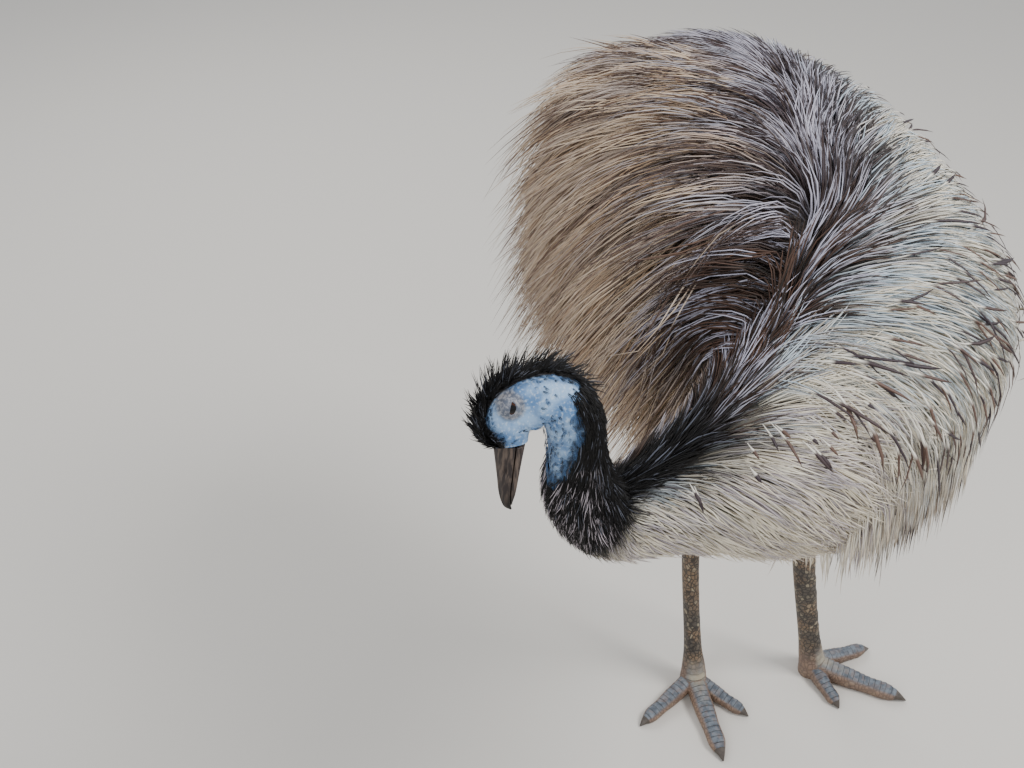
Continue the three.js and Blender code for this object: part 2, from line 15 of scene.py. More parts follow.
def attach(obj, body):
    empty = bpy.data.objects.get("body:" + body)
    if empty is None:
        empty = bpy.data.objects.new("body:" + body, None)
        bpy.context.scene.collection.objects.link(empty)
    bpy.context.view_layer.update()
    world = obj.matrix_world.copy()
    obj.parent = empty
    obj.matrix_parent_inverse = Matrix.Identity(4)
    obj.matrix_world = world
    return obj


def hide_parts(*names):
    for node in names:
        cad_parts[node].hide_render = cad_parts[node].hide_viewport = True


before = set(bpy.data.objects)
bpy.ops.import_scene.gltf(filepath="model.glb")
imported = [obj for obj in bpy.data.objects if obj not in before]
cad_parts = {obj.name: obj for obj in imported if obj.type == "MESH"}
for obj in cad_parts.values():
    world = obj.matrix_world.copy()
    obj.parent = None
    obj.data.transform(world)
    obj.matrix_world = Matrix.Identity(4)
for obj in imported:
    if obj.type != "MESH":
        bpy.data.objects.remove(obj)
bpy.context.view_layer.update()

# %% [markdown]
# A bird's body is one bent form that swells and narrows. It is kept here as rows read along the
# body from tail to bill: the place of the middle, then the half width and the reach up and down.
# A smooth curve through the rows gives any section between them, and everything else, such as
# skin, feathers and markings, is placed on this one form. Numbers are in millimetres.

# %% A bent form
MM = 0.001
SHIFT = np.array([151.0, 51.0, 0.0])  # the origin lies under the middle of the box
TURN = 0.6  # rows to each side that a section's direction is taken over
RING_SQUARE = 0.92  # 1 is an ellipse, less is a little fuller
TRUNK_ROWS = [
    # x, y, z, half width, up, down
    [-140, 276, 882, 13, 13, 13],
    [-120, 250, 900, 90, 86, 104],
    [-105, 166, 906, 136, 142, 156],
    [-89, 34, 906, 166, 163, 188],
    [-88, -112, 901, 169, 153, 188],
    [-106, -230, 892, 155, 126, 176],
    [-185, -316, 890, 112, 94, 170],
]
NECK_ROWS = [
    [-280, -353, 878, 80, 66, 126],
    [-360, -353, 855, 50, 42, 68],
    [-420, -348, 838, 36, 31, 40],
    [-453, -347, 872, 29, 29, 29],
    [-463, -349, 925, 24, 24, 24],
    [-470, -353, 968, 24, 24, 24],
]
HEAD_ROWS = [
    [-483, -347, 988, 25, 25, 21],
    [-501, -343, 990, 28, 26, 23],
    [-516, -342, 982, 29, 27, 22],
    [-522, -346, 970, 25, 25, 17],
    [-523, -352, 958, 18, 17, 14],
]
ROLLED = [0.18, 0, 1]
BODY_BACKS = [
    [0.18, 0.2, 1], [0.18, 0.2, 1], ROLLED, ROLLED, ROLLED, ROLLED, [0.1, 0, 1],
    [0.05, 0, 1], [0, 0, 1], [0.6, 0, 0.8], [1, 0, 0.2], [1, 0, 0], [0.95, 0.1, 0.3],
    [0.5, 0.3, 0.8], [-0.3, 0.4, 0.85], [-0.8, 0.35, 0.5], [-0.96, 0.23, 0.2], [-0.96, 0.23, 0.16],
]


def unit(v):
    return v / np.maximum(np.linalg.norm(v, axis=-1, keepdims=True), 1e-9)


def dot(a, b):
    return (a * b).sum(-1, keepdims=True)


def smooth(x, low, high):
    s = np.clip((x - low) / (high - low), 0, 1)
    return s * s * (3 - 2 * s)


def at(rule, t, angle):
    """A rule is a number, or a function of the place on the form."""
    return rule(t, angle) if callable(rule) else np.full_like(t, rule)


class Form:
    """Rows of x, y, z, side, up, down, read at t. Angle 0 is the back and grows to the left."""

    def __init__(self, rows, backs, square=1.0):
        self.rows = np.array(rows, float)
        self.backs = np.array(backs, float)
        self.square = square
        self.end = len(rows) - 1

    def read(self, rows, t):
        low = np.clip(np.floor(t).astype(int), 0, self.end - 1)
        part = (t - low)[:, None]
        before, here, ahead, beyond = (rows[np.clip(low + k, 0, self.end)] for k in (-1, 0, 1, 2))
        leave, arrive = (ahead - before) / 2, (beyond - here) / 2
        square, cube = part * part, part * part * part
        curve = (2 * cube - 3 * square + 1) * here + (3 * square - 2 * cube) * ahead
        return curve + (cube - 2 * square + part) * leave + (cube - square) * arrive

    def axes(self, t):
        ahead = self.read(self.rows, np.minimum(t + TURN, self.end))
        behind = self.read(self.rows, np.maximum(t - TURN, 0))
        along = unit(ahead[:, :3] - behind[:, :3])
        left = unit(np.cross(self.read(self.backs, t), along))
        return along, left, np.cross(along, left)

    def point(self, t, angle, lift=0.0):
        row = self.read(self.rows, t)
        along, left, back = self.axes(t)
        s, c = np.sin(angle), np.cos(angle)
        side = np.sign(s) * np.abs(s) ** self.square * (row[:, 3] + lift)
        rise = np.sign(c) * np.abs(c) ** self.square * (np.where(c > 0, row[:, 4], row[:, 5]) + lift)
        return row[:, :3] + left * side[:, None] + back * rise[:, None]

    def surface(self, t, angle, e=0.01):
        """Point, slope along t, slope round the angle and outward normal."""
        along = (self.point(t + e, angle) - self.point(t - e, angle)) / (2 * e)
        turn = (self.point(t, angle + e) - self.point(t, angle - e)) / (2 * e)
        return self.point(t, angle), along, turn, unit(np.cross(along, turn))


body = Form(TRUNK_ROWS + NECK_ROWS + HEAD_ROWS, BODY_BACKS, RING_SQUARE)
HEAD_T = 12.6  # t where the neck passes into the head
print("body form:", body.end + 1, "rows")

# %% [markdown]
# Nodes are wired with plain expressions. A Wire holds a socket, and adding or multiplying wires
# adds Math or Vector Math nodes. Every other node comes from one method, so that a material or a
# Geometry Nodes tree reads like a formula.

# %% Wires and node trees
class Wire:
    """A socket with arithmetic."""

    def __init__(self, nodes, socket):
        self.nodes = nodes
        self.socket = socket

    def calc(self, operation, *values):
        vector = any(isinstance(v, Wire) and v.socket.type in ("VECTOR", "RGBA") for v in values)
        kind = "ShaderNodeVectorMath" if vector else "ShaderNodeMath"
        return self.nodes.add(kind, {"operation": operation}, dict(enumerate(values)))

    def __abs__(self):
        return self.calc("ABSOLUTE", self)

    def __mul__(self, other):
        if self.socket.type == "VECTOR" and not (isinstance(other, Wire) and other.socket.type == "VECTOR"):
            return self.nodes.add("ShaderNodeVectorMath", {"operation": "SCALE"}, {0: self, "Scale": other})
        return self.calc("MULTIPLY", self, other)

    def __rmul__(self, other):
        return self * other


for sign, operation in {"add": "ADD", "sub": "SUBTRACT"}.items():
    setattr(Wire, f"__{sign}__", lambda wire, other, do=operation: wire.calc(do, wire, other))
    setattr(Wire, f"__r{sign}__", lambda wire, other, do=operation: wire.calc(do, other, wire))


class Nodes:
    """Adds nodes to one tree."""

    def __init__(self, tree):
        self.tree = tree

    def find(self, sockets, key):
        if isinstance(key, int):
            return sockets[key]
        return next(s for s in sockets if s.name == key and s.enabled)

    def add(self, kind, settings=None, values=None, out=None):
        node = self.tree.nodes.new(kind)
        for name, value in (settings or {}).items():
            setattr(node, name, value)
        for key, value in (values or {}).items():
            socket = self.find(node.inputs, key)
            if isinstance(value, Wire):
                self.tree.links.new(value.socket, socket)
            else:
                socket.default_value = value
        if out is None:
            socket = next((s for s in node.outputs if s.enabled), None)
            return Wire(self, socket) if socket else node
        return Wire(self, self.find(node.outputs, out))

    def fade(self, x, low, high):
        """0 below low, 1 above high, smooth between."""
        return self.add(
            "ShaderNodeMapRange",
            {"interpolation_type": "SMOOTHSTEP"},
            {"Value": x, "From Min": low, "From Max": high},
        )

    def mix(self, share, first, second):
        return self.add("ShaderNodeMix", {"data_type": "RGBA"}, {0: share, "A": first, "B": second})

    def noise(self, place, scale, detail=2.0, out="Fac"):
        return self.add("ShaderNodeTexNoise", {}, {"Vector": place, "Scale": scale, "Detail": detail}, out)

    def place(self):
        return self.add("ShaderNodeTexCoord", {}, {}, "Object")

    def relief(self, height, strength, distance):
        """The bent normal of a rough surface."""
        values = {"Strength": strength, "Distance": distance, "Height": height}
        return self.add("ShaderNodeBump", {}, values, "Normal")

    def attribute(self, name, out="Fac"):
        return self.add("ShaderNodeAttribute", {"attribute_name": name}, {}, out)

    def apart(self, vector):
        node = self.tree.nodes.new("ShaderNodeSeparateXYZ")
        self.tree.links.new(vector.socket, node.inputs[0])
        return [Wire(self, s) for s in node.outputs]


def paint(code):
    """A colour such as d8cbb4 in the linear values that shaders use."""
    levels = [int(code[i : i + 2], 16) / 255 for i in (0, 2, 4)]
    return [v / 12.92 if v <= 0.04045 else ((v + 0.055) / 1.055) ** 2.4 for v in levels] + [1.0]


def material(name, build):
    """A material whose build function gets the nodes and returns values for the shader's sockets."""
    made = bpy.data.materials.new(name)
    made.use_nodes = True
    n = Nodes(made.node_tree)
    shader = next(x for x in made.node_tree.nodes if x.type == "BSDF_PRINCIPLED")
    for key, value in build(n).items():
        if isinstance(value, Wire):
            made.node_tree.links.new(value.socket, shader.inputs[key])
        else:
            shader.inputs[key].default_value = value
    return made


# %% [markdown]
# The plumage is drawn once and worn twice, by the skin and by the feathers over it. Each point
# knows where on the body it is rooted: t along the body, the angle from the parting and the angle
# round the form. The parting sways over the shoulders, because the neck bends to the bird's right.
# Brown and tan streaks cover the right side. The left side is cream with dark tips, and a dark
# stripe with pale streaks runs over the shoulders into the black neck.

# %% Parting of the coat
PARTING = [[0, 0.0], [3.2, 0.0], [4.2, -0.34], [5.2, -0.45], [6.2, -0.6], [6.9, -0.48], [7.8, 0.0]]


def parting(t):
    """Angle of the parting, rounded off between the places above."""
    return sum(np.interp(t + shift, *np.array(PARTING).T) for shift in (-0.3, -0.1, 0.1, 0.3)) / 4


# %% Markings of the plumage
BLUE_GREY, SLATE, PALE_SKY, LAVENDER = paint("a3a8ba"), paint("3c3640"), paint("c2cfd8"), paint("bfbccb")
CREAM, SILVER, LILAC = paint("f5ead3"), paint("e3ddcf"), paint("c6bbc0")
TAN, STRAW, GREIGE = paint("bfa285"), paint("e0cab0"), paint("c6b4a5")
UMBER, BARK = paint("5e463a"), paint("3b2b27")
DARK_TIP, SOOT, CHARCOAL = paint("32252a"), paint("12100f"), paint("29231f")


def plumage(n, where, tint, share):
    """Colour of a feather; tint holds three dice of 0 to 1, share runs from root to tip."""
    t, side, angle = n.apart(where)
    dice_a, dice_b, dice_c = n.apart(tint)
    away, round_form = abs(side), abs(angle)
    left = n.fade(side, -0.05, 0.12)
    rump = 1 - n.fade(t, 1.8, 3.6)
    # right side
    light = n.mix(n.fade(dice_b, 0.1, 0.9), TAN, STRAW)
    light = n.mix(n.fade(dice_c, 0.35, 0.7) * 0.8, light, n.mix(n.fade(away, 0.3, 0.9), BLUE_GREY, GREIGE))
    shade = 0.52 - 0.32 * n.fade(away, 0.25, 1.1) + 0.14 * rump
    dark = 1 - n.fade(dice_a, shade - 0.14, shade + 0.14)
    right = n.mix(dark * 0.92, light, n.mix(dice_b, UMBER, BARK))
    hem = n.fade(away, 1.2, 1.7) * n.fade(share, 0.45, 0.95)
    right = n.mix(hem * 0.5, right, UMBER)
    # left side
    light = n.mix(n.fade(dice_b, 0.1, 0.9), CREAM, SILVER)
    light = n.mix(n.fade(dice_c, 0.35, 0.8) * (1 - 0.6 * n.fade(away, 0.7, 1.5)), light, PALE_SKY)
    shade = 0.82 - 0.76 * n.fade(away, 0.1, 0.5) + 0.2 * rump * (1 - n.fade(away, 0.6, 1.3))
    dark = 1 - n.fade(dice_a, shade - 0.1, shade + 0.1)
    left_colour = n.mix(dark * 0.94, light, n.mix(dice_b, CHARCOAL, BARK))
    hem = n.fade(away, 1.7, 2.3) * n.fade(share, 0.3, 0.95)
    left_colour = n.mix(hem * 0.7, left_colour, n.mix(dice_b, TAN, UMBER))
    chance = 1.02 - 0.14 * n.fade(away, 0.8, 1.6) - 0.1 * n.fade(away, 1.7, 2.2)
    tipped = n.fade(dice_c, chance, chance + 0.03) * n.fade(share, 0.58, 0.7)
    left_colour = n.mix(tipped, left_colour, DARK_TIP)
    colour = n.mix(left, right, left_colour)
    # parting
    band = 1 - n.fade(away + 0.3 * dice_c, 0.15, 0.55)
    streak = n.fade(dice_a, 0.56, 0.72)
    colour = n.mix(band * 0.9, colour, n.mix(streak, n.mix(dice_b, SLATE, BARK), LAVENDER))
    # stripe over the shoulders
    stripe = n.fade(t, 4.6, 5.8) * n.fade(side, -0.85, -0.35) * (1 - n.fade(side + 0.3 * dice_c, 0.3, 0.6))
    streak = n.fade(dice_a, 0.66, 0.8)
    colour = n.mix(stripe, colour, n.mix(streak, n.mix(dice_b, CHARCOAL, UMBER), LAVENDER))
    # soft breast, then the black neck with its ruff of pale streaks in front
    breast = n.fade(t, 6.0, 7.0) * n.fade(side, 0.3, 0.7)
    colour = n.mix(breast * 0.8, colour, n.mix(n.fade(dice_a, 0.15, 0.6), LILAC, CREAM))
    black = n.fade(t, 7.1, 7.9) * (1 - 0.95 * n.fade(round_form, 0.25, 0.6) * (1 - n.fade(t, 9.1, 9.6)))
    ruff = n.fade(round_form, 0.8, 1.7) * (1 - n.fade(t, 11.0, 11.4))
    ruff = ruff * n.fade(dice_b + 0.4 * dice_a, 1.14, 1.2)
    neck = n.mix(n.fade(dice_a, 0.95, 1.2) * 0.4, SOOT, BLUE_GREY)
    return n.mix(black, colour, n.mix(ruff, neck, LILAC))


def coat_finish(n):
    where = n.attribute("where", "Vector")
    share = n.attribute("share")
    colour = plumage(n, where, n.attribute("tint", "Vector"), share)
    left = n.fade(n.apart(where)[1], 0.2, 0.6)
    # painted shade: each strand darkens towards soot near its root, deep in the coat, more on the right side
    # than the left
    shaded_to_root = n.mix((1 - n.fade(share, 0.0, 0.4)) * (0.42 - 0.27 * left), colour, SOOT)
    return {"Base Color": shaded_to_root, "Roughness": 0.6, "Specular IOR Level": 0.3}


coat_material = material("plumage", coat_finish)

# %% [markdown]
# The skin is a grid over the whole body form, wrapped round from the end of the tail to the root
# of the bill. Its rows crowd together towards the head, because lids, cheeks and ear openings
# need many small faces, and its columns crowd towards the sides, where the eyes are.

# %% Head frame
BILL_TIP = np.array([-536.0, -371.0, 909.0])
bill_root = np.array(HEAD_ROWS[-1][:3], float)
head_forward = unit(BILL_TIP - bill_root)
head_left = unit(np.array([-0.151, -0.903, 0.402]))
head_up = unit(np.cross(head_forward, head_left))


def in_head(forward, left, up):
    """A point from its distances ahead of the bill's root, to the left of it and above it."""
    return bill_root + forward * head_forward + left * head_left + up * head_up


def head_places(points):
    """The same three distances for points of the model."""
    away = points - bill_root
    return away @ head_forward, away @ head_left, away @ head_up


# %% Skin grid
COLUMNS = 192
CROWDING = 0.35
ROWS_TRUNK, ROWS_NECK, ROWS_HEAD = 56, 76, 112
HEAD_START = 12.4

even_angles = np.arange(COLUMNS) / COLUMNS * 2 * np.pi - np.pi
column_angles = even_angles + CROWDING * np.sin(2 * even_angles) / 2
row_places = np.concatenate(
    [
        np.linspace(0, 6.4, ROWS_TRUNK, endpoint=False),
        np.linspace(6.4, HEAD_START, ROWS_NECK, endpoint=False),
        np.linspace(HEAD_START, body.end, ROWS_HEAD),
    ]
)
grid_t = np.repeat(row_places, COLUMNS)
grid_angle = np.tile(column_angles, len(row_places))
depth = 9 - 5 * smooth(grid_t, 6.0, 7.5) - 2.5 * smooth(grid_t, 8.5, 10.0) - 1.5 * smooth(grid_t, 12, 12.8)
skin_points = body.point(grid_t, grid_angle, -depth)

EYE = {"forward": -36.0, "out": 18.4, "up": 7.2, "radius": 9.2}
EAR = {"forward": -57, "out": 27, "up": -3}


def bump(points, forward, left, up, size, height):
    """A soft rise of some height round a place of the head, the same on both sides."""
    ahead, aside, above = head_places(points)
    reach = ((ahead - forward) / size[0]) ** 2
    reach = reach + ((np.abs(aside) - left) / size[1]) ** 2 + ((above - up) / size[2]) ** 2
    return height * np.exp(-reach)


def head_relief(points):
    """How far the skin of the head stands out from the plain form."""
    relief = bump(points, -36, 26, 17, (15, 9, 5), 2.4)  # brow over the eye
    relief += bump(points, -34, 27, 7, (11, 9, 9), -2.0)  # socket
    relief += bump(points, -52, 24, 4, (12, 10, 9), 1.2)  # cheek
    relief += bump(points, *EAR.values(), (4.6, 7, 3.4), -4.0)  # ear opening
    relief += bump(points, *EAR.values(), (8.5, 9, 6.5), 1.2)  # rim of the ear
    relief += bump(points, -16, 18, -2, (10, 8, 4), -1.0)  # hollow before the eye
    return relief


outward = body.surface(grid_t, grid_angle)[3]
on_head = smooth(grid_t, HEAD_T, 13.2)
skin_points += outward * (head_relief(skin_points) * on_head)[:, None]

# %% [markdown]
# Each eye sits in a lid. Skin within the opening is drawn back inside the eyeball, and skin round
# it is laid over the ball as a thin shell, so the lid gets a real edge. The upper lid comes down
# low, which gives the bird its hooded look.

# %% Lids
EYE_AHEAD = 0.12  # how far the eyes look ahead of straight out
LID = {"over": 1.1, "long": 0.62, "high": 0.36, "hood": 0.17, "blend": (0.95, 1.5), "sink": 3.0}


def eye_centre(side):
    return in_head(EYE["forward"], side * EYE["out"], EYE["up"])


def wrap_lid(points, side):
    centre = eye_centre(side)
    away = points - centre
    distance = np.linalg.norm(away, axis=1)
    ray = unit(away)
    out = unit(side * head_left + EYE_AHEAD * head_forward)
    across = unit(head_forward - out * (head_forward @ out))
    over = np.cross(out, across) * side
    over = over if over @ head_up > 0 else -over
    tilt = np.arccos(np.clip(ray @ out, -1, 1))
    a, b = ray @ across, ray @ over
    span = np.maximum(np.hypot(a, b), 1e-6)
    high = LID["high"] - LID["hood"] * (b > 0)
    opening = 1 / np.sqrt((a / span / LID["long"]) ** 2 + (b / span / high) ** 2)
    near = (distance < 3.2 * EYE["radius"]) & (tilt < LID["blend"][1] + 0.05)
    shell = centre + ray * (EYE["radius"] + LID["over"])
    sunk = centre + ray * (EYE["radius"] - LID["sink"])
    blend = smooth(tilt, *LID["blend"])[:, None]
    lid = shell * (1 - blend) + points * blend
    held = np.maximum(np.linalg.norm(lid - centre, axis=1), EYE["radius"] + 0.5)
    lid = centre + unit(lid - centre) * held[:, None]
    inside = (1 - smooth(tilt, opening - 0.1, opening))[:, None]
    placed = lid * (1 - inside) + sunk * inside
    return np.where(near[:, None], placed, points)


lid_share = 0 * grid_t
for side in (-1, 1):
    skin_points = wrap_lid(skin_points, side)
    lid_share += 1 - smooth(np.linalg.norm(skin_points - eye_centre(side), axis=1), 10.5, 15.0)


def grid_faces(rows, columns):
    r, c = np.meshgrid(np.arange(rows - 1), np.arange(columns), indexing="ij")
    here, there = r * columns + c, r * columns + (c + 1) % columns
    return np.stack([here, there, there + columns, here + columns], -1).reshape(-1, 4).tolist()


def closed_faces(rows, columns):
    """The faces of a grid wrapped round, with a lid on each end."""
    first, last = range(columns), range((rows - 1) * columns, rows * columns)
    return grid_faces(rows, columns) + [list(first)[::-1], list(last)]


def shown(name, data):
    """An object of the scene."""
    obj = bpy.data.objects.new(name, data)
    bpy.context.scene.collection.objects.link(obj)
    return obj


def new_object(name, points, faces, attributes=None, finish=None):
    """A mesh object from points in millimetres of the body's own frame."""
    mesh = bpy.data.meshes.new(name)
    mesh.from_pydata(((points + SHIFT) * MM).tolist(), [], faces)
    mesh.polygons.foreach_set("use_smooth", [True] * len(mesh.polygons))
    for key, values in (attributes or {}).items():
        kind = "FLOAT_VECTOR" if values.ndim == 2 else "FLOAT"
        store = mesh.attributes.new(key, kind, "POINT")
        store.data.foreach_set("vector" if values.ndim == 2 else "value", values.astype(np.float32).ravel())
    if finish:
        mesh.materials.append(finish)
    return shown(name, mesh)


def triangles(mesh):
    return sum(len(face.vertices) - 2 for face in mesh.polygons)


def face_outwards(obj):
    work = bmesh.new()
    work.from_mesh(obj.data)
    bmesh.ops.recalc_face_normals(work, faces=work.faces)
    work.to_mesh(obj.data)
    work.free()


rows = len(row_places)
faces = closed_faces(rows, COLUMNS)
path = np.stack([grid_t, grid_angle, 0 * grid_t], 1)
where = np.stack([grid_t, grid_angle - parting(grid_t), grid_angle], 1)
BODY_WIDTH = 0.84  # share of the unwrap that the body takes, the thighs lie beside it
unwrap = np.stack(
    [
        np.tile(np.arange(COLUMNS) / COLUMNS, rows) * BODY_WIDTH,
        np.repeat(np.arange(rows) / rows, COLUMNS),
        0 * grid_t,
    ],
    1,
)
print("skin grid:", rows, "x", COLUMNS)

# %% [markdown]
# Skin of the face and upper neck is bare and pale blue, deeper blue in its folds, with fine
# wrinkles. Elsewhere it carries the markings of the plumage, darkened far towards charcoal as
# painted shade, in case it shows between feathers.

# %% Skin finish
SKY, DEEP_BLUE = paint("8dacce"), paint("5379a6")
PALE_BLUE, INK_BLUE = paint("c8d6e4"), paint("27374f")
LID_GREY, LID_PALE = paint("4f4a48"), paint("8a8480")
NAPE_EDGE = [[10.3, 3.5], [10.9, 2.3], [11.5, 1.85], [12.2, 1.5]]  # t, angle where the black ends


def nape_edge(t):
    return np.interp(t, *np.array(NAPE_EDGE).T)


def skin_finish(n):
    place = n.place()
    where = n.attribute("where", "Vector")
    cloud = n.noise(place, 55, 3)
    folds = n.noise(place, 380, 4)
    bare = n.mix(n.fade(cloud, 0.38, 0.66), SKY, DEEP_BLUE)
    bare = n.mix(n.fade(folds, 0.5, 0.7) * 0.5, bare, PALE_BLUE)
    rim = n.attribute("rim") * n.fade(n.noise(place, 240, 3), 0.3, 0.6)
    bare = n.mix(rim * 0.8, bare, INK_BLUE)
    lids = n.mix(n.fade(folds, 0.4, 0.6), LID_GREY, LID_PALE)
    bare = n.mix(n.attribute("lid") * 0.8, bare, lids)
    grain = n.noise(place, 300, 2, "Color")
    # painted shade: under the coat the plumage's markings are mixed 70% towards charcoal for the dark gaps
    # between feathers
    plumage_in_shade = n.mix(0.7, plumage(n, where, grain, n.noise(place, 90, 1)), CHARCOAL)
    colour = n.mix(n.fade(n.attribute("naked"), 0.2, 0.8), plumage_in_shade, bare)
    pores = n.add("ShaderNodeTexVoronoi", {}, {"Vector": place, "Scale": 520})
    normal = n.relief(n.noise(place, 700, 5) + 0.6 * pores, 0.35, 0.0008)
    return {"Base Color": colour, "Roughness": 0.6, "Normal": normal}


skin_material = material("skin", skin_finish)
from_back = np.abs(grid_angle)
black_edge = nape_edge(grid_t)
crown_edge = 0.5 + 0.5 * smooth(grid_t, 15.6, 16.6)
naked = smooth(grid_t, 10.0, 10.6) * smooth(from_back, black_edge - 0.25, black_edge + 0.1)
naked = np.where(grid_t > HEAD_T, smooth(from_back, crown_edge - 0.1, crown_edge + 0.15), naked)
hair_edge = np.where(grid_t > HEAD_T, crown_edge, black_edge)
rim = 1 - smooth(from_back, hair_edge, hair_edge + 0.45)  # dark edge of the blue skin
carried = {"where": where, "unwrap": unwrap, "path": path, "naked": naked, "rim": rim, "lid": lid_share}
body_skin = new_object("body_skin", skin_points, faces, carried, skin_material)
face_outwards(body_skin)
print("body skin faces:", len(body_skin.data.polygons))

# %% [markdown]
# Feathers are sown by Geometry Nodes: points are spread over the skin by a density that is kept
# on it, so that they stand thick where the coat is short. A fixed seed gives the same roots again.

# %% Sowing tree
def group_tree(name, inputs):
    tree = bpy.data.node_groups.new(name, "GeometryNodeTree")
    tree.interface.new_socket("Geometry", in_out="INPUT", socket_type="NodeSocketGeometry")
    tree.interface.new_socket("Geometry", in_out="OUTPUT", socket_type="NodeSocketGeometry")
    ids = {}
    for label, (kind, value) in inputs.items():
        socket = tree.interface.new_socket(label, in_out="INPUT", socket_type=kind)
        if value is not None:
            socket.default_value = value
        ids[label] = socket.identifier
    n = Nodes(tree)
    entry = tree.nodes.new("NodeGroupInput")
    given = {s.name: Wire(n, s) for s in entry.outputs if s.name}
    return tree, ids, n, given


def finish_tree(tree, geometry):
    exit_node = tree.nodes.new("NodeGroupOutput")
    tree.links.new(geometry.socket, exit_node.inputs[0])


def read_attribute(n, name, kind="FLOAT"):
    return n.add("GeometryNodeInputNamedAttribute", {"data_type": kind}, {"Name": name})


sow_tree, sow_ids, n, given = group_tree(
    "sow", {"Density": ("NodeSocketFloat", 1000.0), "Seed": ("NodeSocketInt", 1)}
)
thickness = given["Density"] * read_attribute(n, "thick")
ground = {"Mesh": given["Geometry"], "Density": thickness, "Seed": given["Seed"]}
points = n.add("GeometryNodeDistributePointsOnFaces", {"distribute_method": "RANDOM"}, ground, "Points")
finish_tree(sow_tree, n.add("GeometryNodePointsToVertices", {}, {"Points": points}))


def evaluated_mesh(obj, tree, values):
    """The mesh that a node tree makes of an object, with the modifier taken off again."""
    modifier = obj.modifiers.new("nodes", "NODES")
    modifier.node_group = tree
    for key, value in values.items():
        modifier[key] = value
    bpy.context.view_layer.update()
    graph = bpy.context.evaluated_depsgraph_get()
    mesh = bpy.data.meshes.new_from_object(obj.evaluated_get(graph))
    obj.modifiers.remove(modifier)
    return mesh


def read_values(mesh, name, width=1):
    data = mesh.attributes[name].data
    values = np.zeros(len(data) * width, np.float32)
    data.foreach_get("vector" if width == 3 else "value", values)
    return values.reshape(-1, width).astype(float) if width > 1 else values.astype(float)


def sow(ground, thick, density, seed, name):
    """Roots spread over an object: their place on the form, on the markings and on the unwrap."""
    store = ground.data.attributes.get("thick") or ground.data.attributes.new("thick", "FLOAT", "POINT")
    store.data.foreach_set("value", thick.astype(np.float32))
    mesh = evaluated_mesh(ground, sow_tree, {sow_ids["Density"]: density, sow_ids["Seed"]: seed})
    roots = [read_values(mesh, key, 3) for key in ("path", "where", "unwrap")]
    bpy.data.meshes.remove(mesh)
    print(name, "roots:", len(roots[0]))
    return roots


# %% [markdown]
# A feather's path starts at its root, follows the lie of the coat over the body and then hangs
# free. The lie is a rule: away from the parting, back towards the tail and down. This walks all
# the paths of a field at once, a step at a time.

# %% Paths along the lie
def trace(form, t, angle, length, lie, dice):
    """Places, outward directions and travel of each path, as arrays of step, path, xyz."""
    t, angle = t.copy(), angle.copy()
    count = len(t)
    steps = lie["steps"]
    stride = (length / steps)[:, None]
    down = np.array([0.0, 0.0, -1.0])
    clumps = np.sin(3.1 * t + 5.3 * angle) + np.sin(7.7 * angle - 4.2 * t) + np.sin(19 * angle + 23 * t)
    sway = lie["sway"] * (dice.normal(0, 1.3, count) + clumps)
    hanging = np.zeros(count, bool)
    places, outs, ways = [], [], []
    for step in range(steps + 1):
        place, along, turn, out = form.surface(t, angle)
        away = np.tanh((angle - lie["parting"](t)) / lie["soft"])[:, None]
        slope = (lie["parting"](t + 0.1) - lie["parting"](t - 0.1))[:, None] / 0.2
        backward = at(lie["back"], t, angle)[:, None] * (1 + 0.8 * (1 - np.abs(away)))
        way = -backward * unit(along + slope * turn * (1 - np.abs(away)))
        way += lie["out"] * away * unit(turn) + lie["fall"] * np.abs(away) * down
        way = unit(way - out * dot(way, out))
        bend = (sway * (0.4 + step / steps))[:, None]
        way = unit(np.cos(bend) * way + np.sin(bend) * np.cross(out, way))
        if step:
            hanging |= (out[:, 2] < lie["let_go"]) | (t < lie["end"])
            free = hanging[:, None]
            loose_way = unit(ways[-1] * (1 - lie["droop"]) + down * lie["droop"])
            loose_out = unit(outs[-1] - loose_way * dot(outs[-1], loose_way))
            place = np.where(free, places[-1] + loose_way * stride, place)
            out = np.where(free, loose_out, out)
            way = np.where(free, loose_way, way)
        places.append(place)
        outs.append(out)
        ways.append(way)
        a, b, c = dot(along, along)[:, 0], dot(along, turn)[:, 0], dot(turn, turn)[:, 0]
        p, q = dot(way, along)[:, 0], dot(way, turn)[:, 0]
        det = np.maximum(a * c - b * b, 1e-3)
        t = np.clip(t + (c * p - b * q) / det * stride[:, 0], 0.05, form.end - 0.02)
        angle = angle + (a * q - b * p) / det * stride[:, 0]
    return np.array(places), np.array(outs), np.array(ways)


# %% [markdown]
# The coat ends at a hem: higher on the bird's right, lower on the left and rising at the breast.
# A path that would hang below it is drawn up, so that it ends a little above or below the line.

# %% Hem of the coat
HEM = {
    "right_of": -220, "right": 712, "left": 645, "breast": -290, "shoulder": -170, "rise": 0.9, "ragged": 28,
}


def hem_height(x, y):
    left = HEM["left"] + HEM["rise"] * np.maximum(0, HEM["breast"] - y)
    right = HEM["right"] + HEM["rise"] * np.maximum(0, HEM["shoulder"] - y)
    return np.where(x < HEM["right_of"], right, left)


def drawn_up(places, outs, ways, dice):
    """Paths cut at the hem and spread over the same number of steps again."""
    steps, count = len(places) - 1, places.shape[1]
    line = hem_height(places[..., 0], places[..., 1]) + dice.normal(0, HEM["ragged"], count)
    below = places[..., 2] < line
    cut = np.where(below.any(0), np.maximum(below.argmax(0), 0.3 * steps), steps)
    reading = np.linspace(0, 1, steps + 1)[:, None] * cut
    low = np.minimum(reading.astype(int), steps - 1)
    part = (reading - low)[..., None]
    each = np.arange(count)
    return [v[low, each] * (1 - part) + v[low + 1, each] * part for v in (places, outs, ways)]


